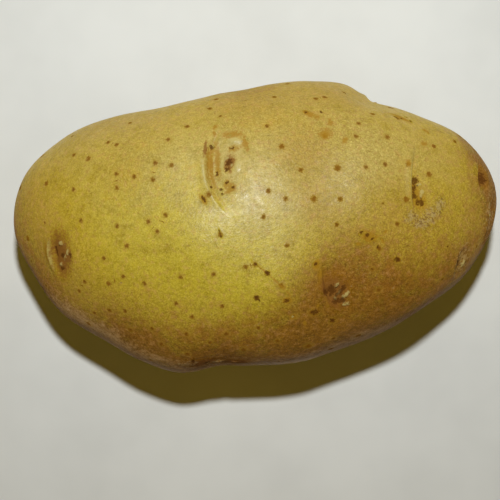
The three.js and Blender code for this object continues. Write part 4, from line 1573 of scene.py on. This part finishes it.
    def grained(self, graph: Graph, paint: Socket, rough: Socket) -> Socket:
        """Lightens and darkens a colour with the grain, golden where dark, pale where light.

        Args:
            graph: The material's tree.
            paint: The colour so far.
            rough: The grain, round zero.

        Returns:
            The grained colour.
        """
        swing = graph.scaled(self.grain_tint, rough)
        swing = graph.vector_maths("MAXIMUM", swing, (self.darkest_grain,) * 3)
        swing = graph.vector_maths("ADD", swing, (1.0, 1.0, 1.0))
        return graph.vector_maths("MULTIPLY", paint, swing)

    def gloss(self, graph: Graph, place: Socket, pores: dict[str, Socket]) -> Socket:
        """Returns the roughness: waxy on smooth skin, dull on cork, russet and netting."""
        patchy = (graph.noise(place, *self.patches) - 0.5) * self.patchy
        dull = graph.layer("russet") + graph.layer("net") * 0.5 + graph.layer("tan") * 0.6
        cork = self.corked(graph, pores).rise(0.0, 0.8) * self.cork
        return self.roughness + patchy + dull.rise(0.0, 1.6) * self.dull + cork

    def relief(
        self, graph: Graph, place: Socket, pores: dict[str, Socket], cracks: Socket
    ) -> Socket:
        """Shapes what is too fine for the mesh.

        Args:
            graph: The material's tree.
            place: Where the surface is, in millimetres.
            pores: The lenticels' covers.
            cracks: The cracks' cover.

        Returns:
            The bumped normal.
        """
        grain = graph.noise(place, *self.fine_relief)
        height = (
            graph.noise(place, *self.pebbles) * self.pebble_height
            + grain * (self.grain_height + self.scuff_height * graph.layer("scuff"))
            - cracks * self.crack_depth
            + pores["spot"] * self.pore_rise
            - pores["heart"] * self.pore_sink
        )
        inputs = {"Strength": 1.0, "Distance": MM, "Height": height}
        return graph.node("ShaderNodeBump", None, inputs, "Normal")


@dataclass(frozen=True)
class PaperFinish:
    """The floor: plain pale matt paper."""

    colour: str = "#d4d4d1"
    shade: str = "#cdcdca"
    clouds: Waves = Waves(0.03, 3.0, 0.6)
    roughness: float = 0.9

    def material(self) -> bpy.types.Material:
        """Builds the material."""
        made = bpy.data.materials.new("pale_paper")
        made.use_nodes = True
        graph = Graph(made.node_tree)
        place = graph.scaled(graph.node("ShaderNodeTexCoord", output="Object"), 1 / MM)
        cloud = graph.noise(place, *self.clouds)
        paint = graph.blend(cloud.rise(0.3, 0.7), linear(self.colour), linear(self.shade))
        surface = {"Base Color": paint, "Roughness": self.roughness}
        shader = graph.node("ShaderNodeBsdfPrincipled", None, surface, "BSDF")
        graph.node("ShaderNodeOutputMaterial", None, {"Surface": shader})
        return made


# Pieces and studio


@dataclass
class Tuber:
    """The potato: its skin's mesh, its lenticels and its finish."""

    name: str = "potato_skin"
    slot: str = "skin"
    lenticels: Lenticels = field(default_factory=Lenticels)
    finish: SkinFinish = SkinFinish()

    def build(self) -> bpy.types.Object:
        """Makes the skin, dresses it and puts it in the place of the solid."""
        shape = SkinMesh(spots=np.array(self.lenticels.places))
        skin = shape.build(self.name)
        self.lenticels.work_into(skin, self.finish.material())
        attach(skin, "root")
        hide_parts(NODE)
        return skin


@dataclass
class Studio:
    """The pale floor, the soft light and the camera over the potato."""

    floor_size: float = 3000.0
    paper: PaperFinish = PaperFinish()
    camera_place: tuple[float, float, float] = (-1.15, -5.5, 300.0)
    lens: float = 85.0
    nearest_seen: float = 10.0
    key_place: tuple[float, float, float] = (3.0, 76.0, 340.0)
    key_aim: tuple[float, float, float] = (0.0, 200.0, 0.0)
    key_size: float = 19.5
    key_power: float = 1.4
    key_colour: str = "#f8fdff"
    room_strength: float = 0.02
    room_colour: str = "#f4e8b0"
    fill_count: int = 4
    fill_distance: float = 170.0
    fill_height: float = 75.0
    fill_size: float = 110.0
    fill_power: float = 0.025
    fill_colour: str = "#ffd440"
    fill_aim: tuple[float, float, float] = (0.0, 0.0, 30.0)

    def floor(self) -> bpy.types.Object:
        """Lays the floor."""
        half = self.floor_size / 2 * MM
        mesh = bpy.data.meshes.new("floor")
        corners = [(-half, -half, 0.0), (half, -half, 0.0), (half, half, 0.0), (-half, half, 0.0)]
        mesh.from_pydata(corners, [], [(0, 1, 2, 3)])
        mesh.materials.append(self.paper.material())
        floor = bpy.data.objects.new("floor", mesh)
        bpy.context.scene.collection.objects.link(floor)
        return floor

    def lamp(self, name: str, place: tuple[float, float, float], aim: tuple[float, float, float],
             size: float, power: float, colour: str) -> None:
        """Hangs a round soft lamp.

        Args:
            name: The lamp's name.
            place: Where it hangs, in millimetres.
            aim: The point that it faces, in millimetres.
            size: How wide it is, in millimetres.
            power: Its power in watts.
            colour: Its colour code.
        """
        light = bpy.data.lights.new(name, "AREA")
        light.shape = "DISK"
        light.size = size * MM
        light.energy = power
        light.color = linear(colour)[:3]
        holder = bpy.data.objects.new(name, light)
        holder.location = Vector(place) * MM
        way = Vector(aim) * MM - holder.location
        holder.rotation_euler = way.to_track_quat("-Z", "Y").to_euler()
        holder.visible_camera = False
        bpy.context.scene.collection.objects.link(holder)

    def fill_lamps(self) -> None:
        """Stands low warm lamps round the potato, outside the picture."""
        for index in range(self.fill_count):
            turn = index * math.tau / self.fill_count
            x, y = self.fill_distance * math.cos(turn), self.fill_distance * math.sin(turn)
            self.lamp(
                f"fill_{index}", (x, y, self.fill_height), self.fill_aim,
                self.fill_size, self.fill_power, self.fill_colour)

    def room(self) -> None:
        """Sets the room's faint even light."""
        world = bpy.data.worlds.new("room")
        world.use_nodes = True
        graph = Graph(world.node_tree)
        inputs = {"Color": linear(self.room_colour), "Strength": self.room_strength}
        shader = graph.node("ShaderNodeBackground", None, inputs, "Background")
        graph.node("ShaderNodeOutputWorld", None, {"Surface": shader})
        bpy.context.scene.world = world

    def camera(self) -> None:
        """Hangs the camera straight over the potato, the image's top towards the back."""
        eye = bpy.data.cameras.new("camera")
        eye.lens = self.lens
        eye.clip_start = self.nearest_seen * MM
        holder = bpy.data.objects.new("camera", eye)
        holder.location = Vector(self.camera_place) * MM
        bpy.context.scene.collection.objects.link(holder)
        bpy.context.scene.camera = holder

    def build(self) -> None:
        """Sets up the floor, the lamps, the camera and the plain view transform."""
        self.floor()
        self.lamp(
            "key", self.key_place, self.key_aim, self.key_size, self.key_power, self.key_colour)
        self.fill_lamps()
        self.room()
        self.camera()
        bpy.context.scene.view_settings.view_transform = "Standard"


def main() -> None:
    """Builds the potato and the studio."""
    logging.basicConfig(level=logging.INFO, format="%(name)s: %(message)s")
    skin = Tuber().build()
    LOG.info("%s stands for the node %s", skin.name, NODE)
    Studio().build()


if __name__ == "__main__":
    main()
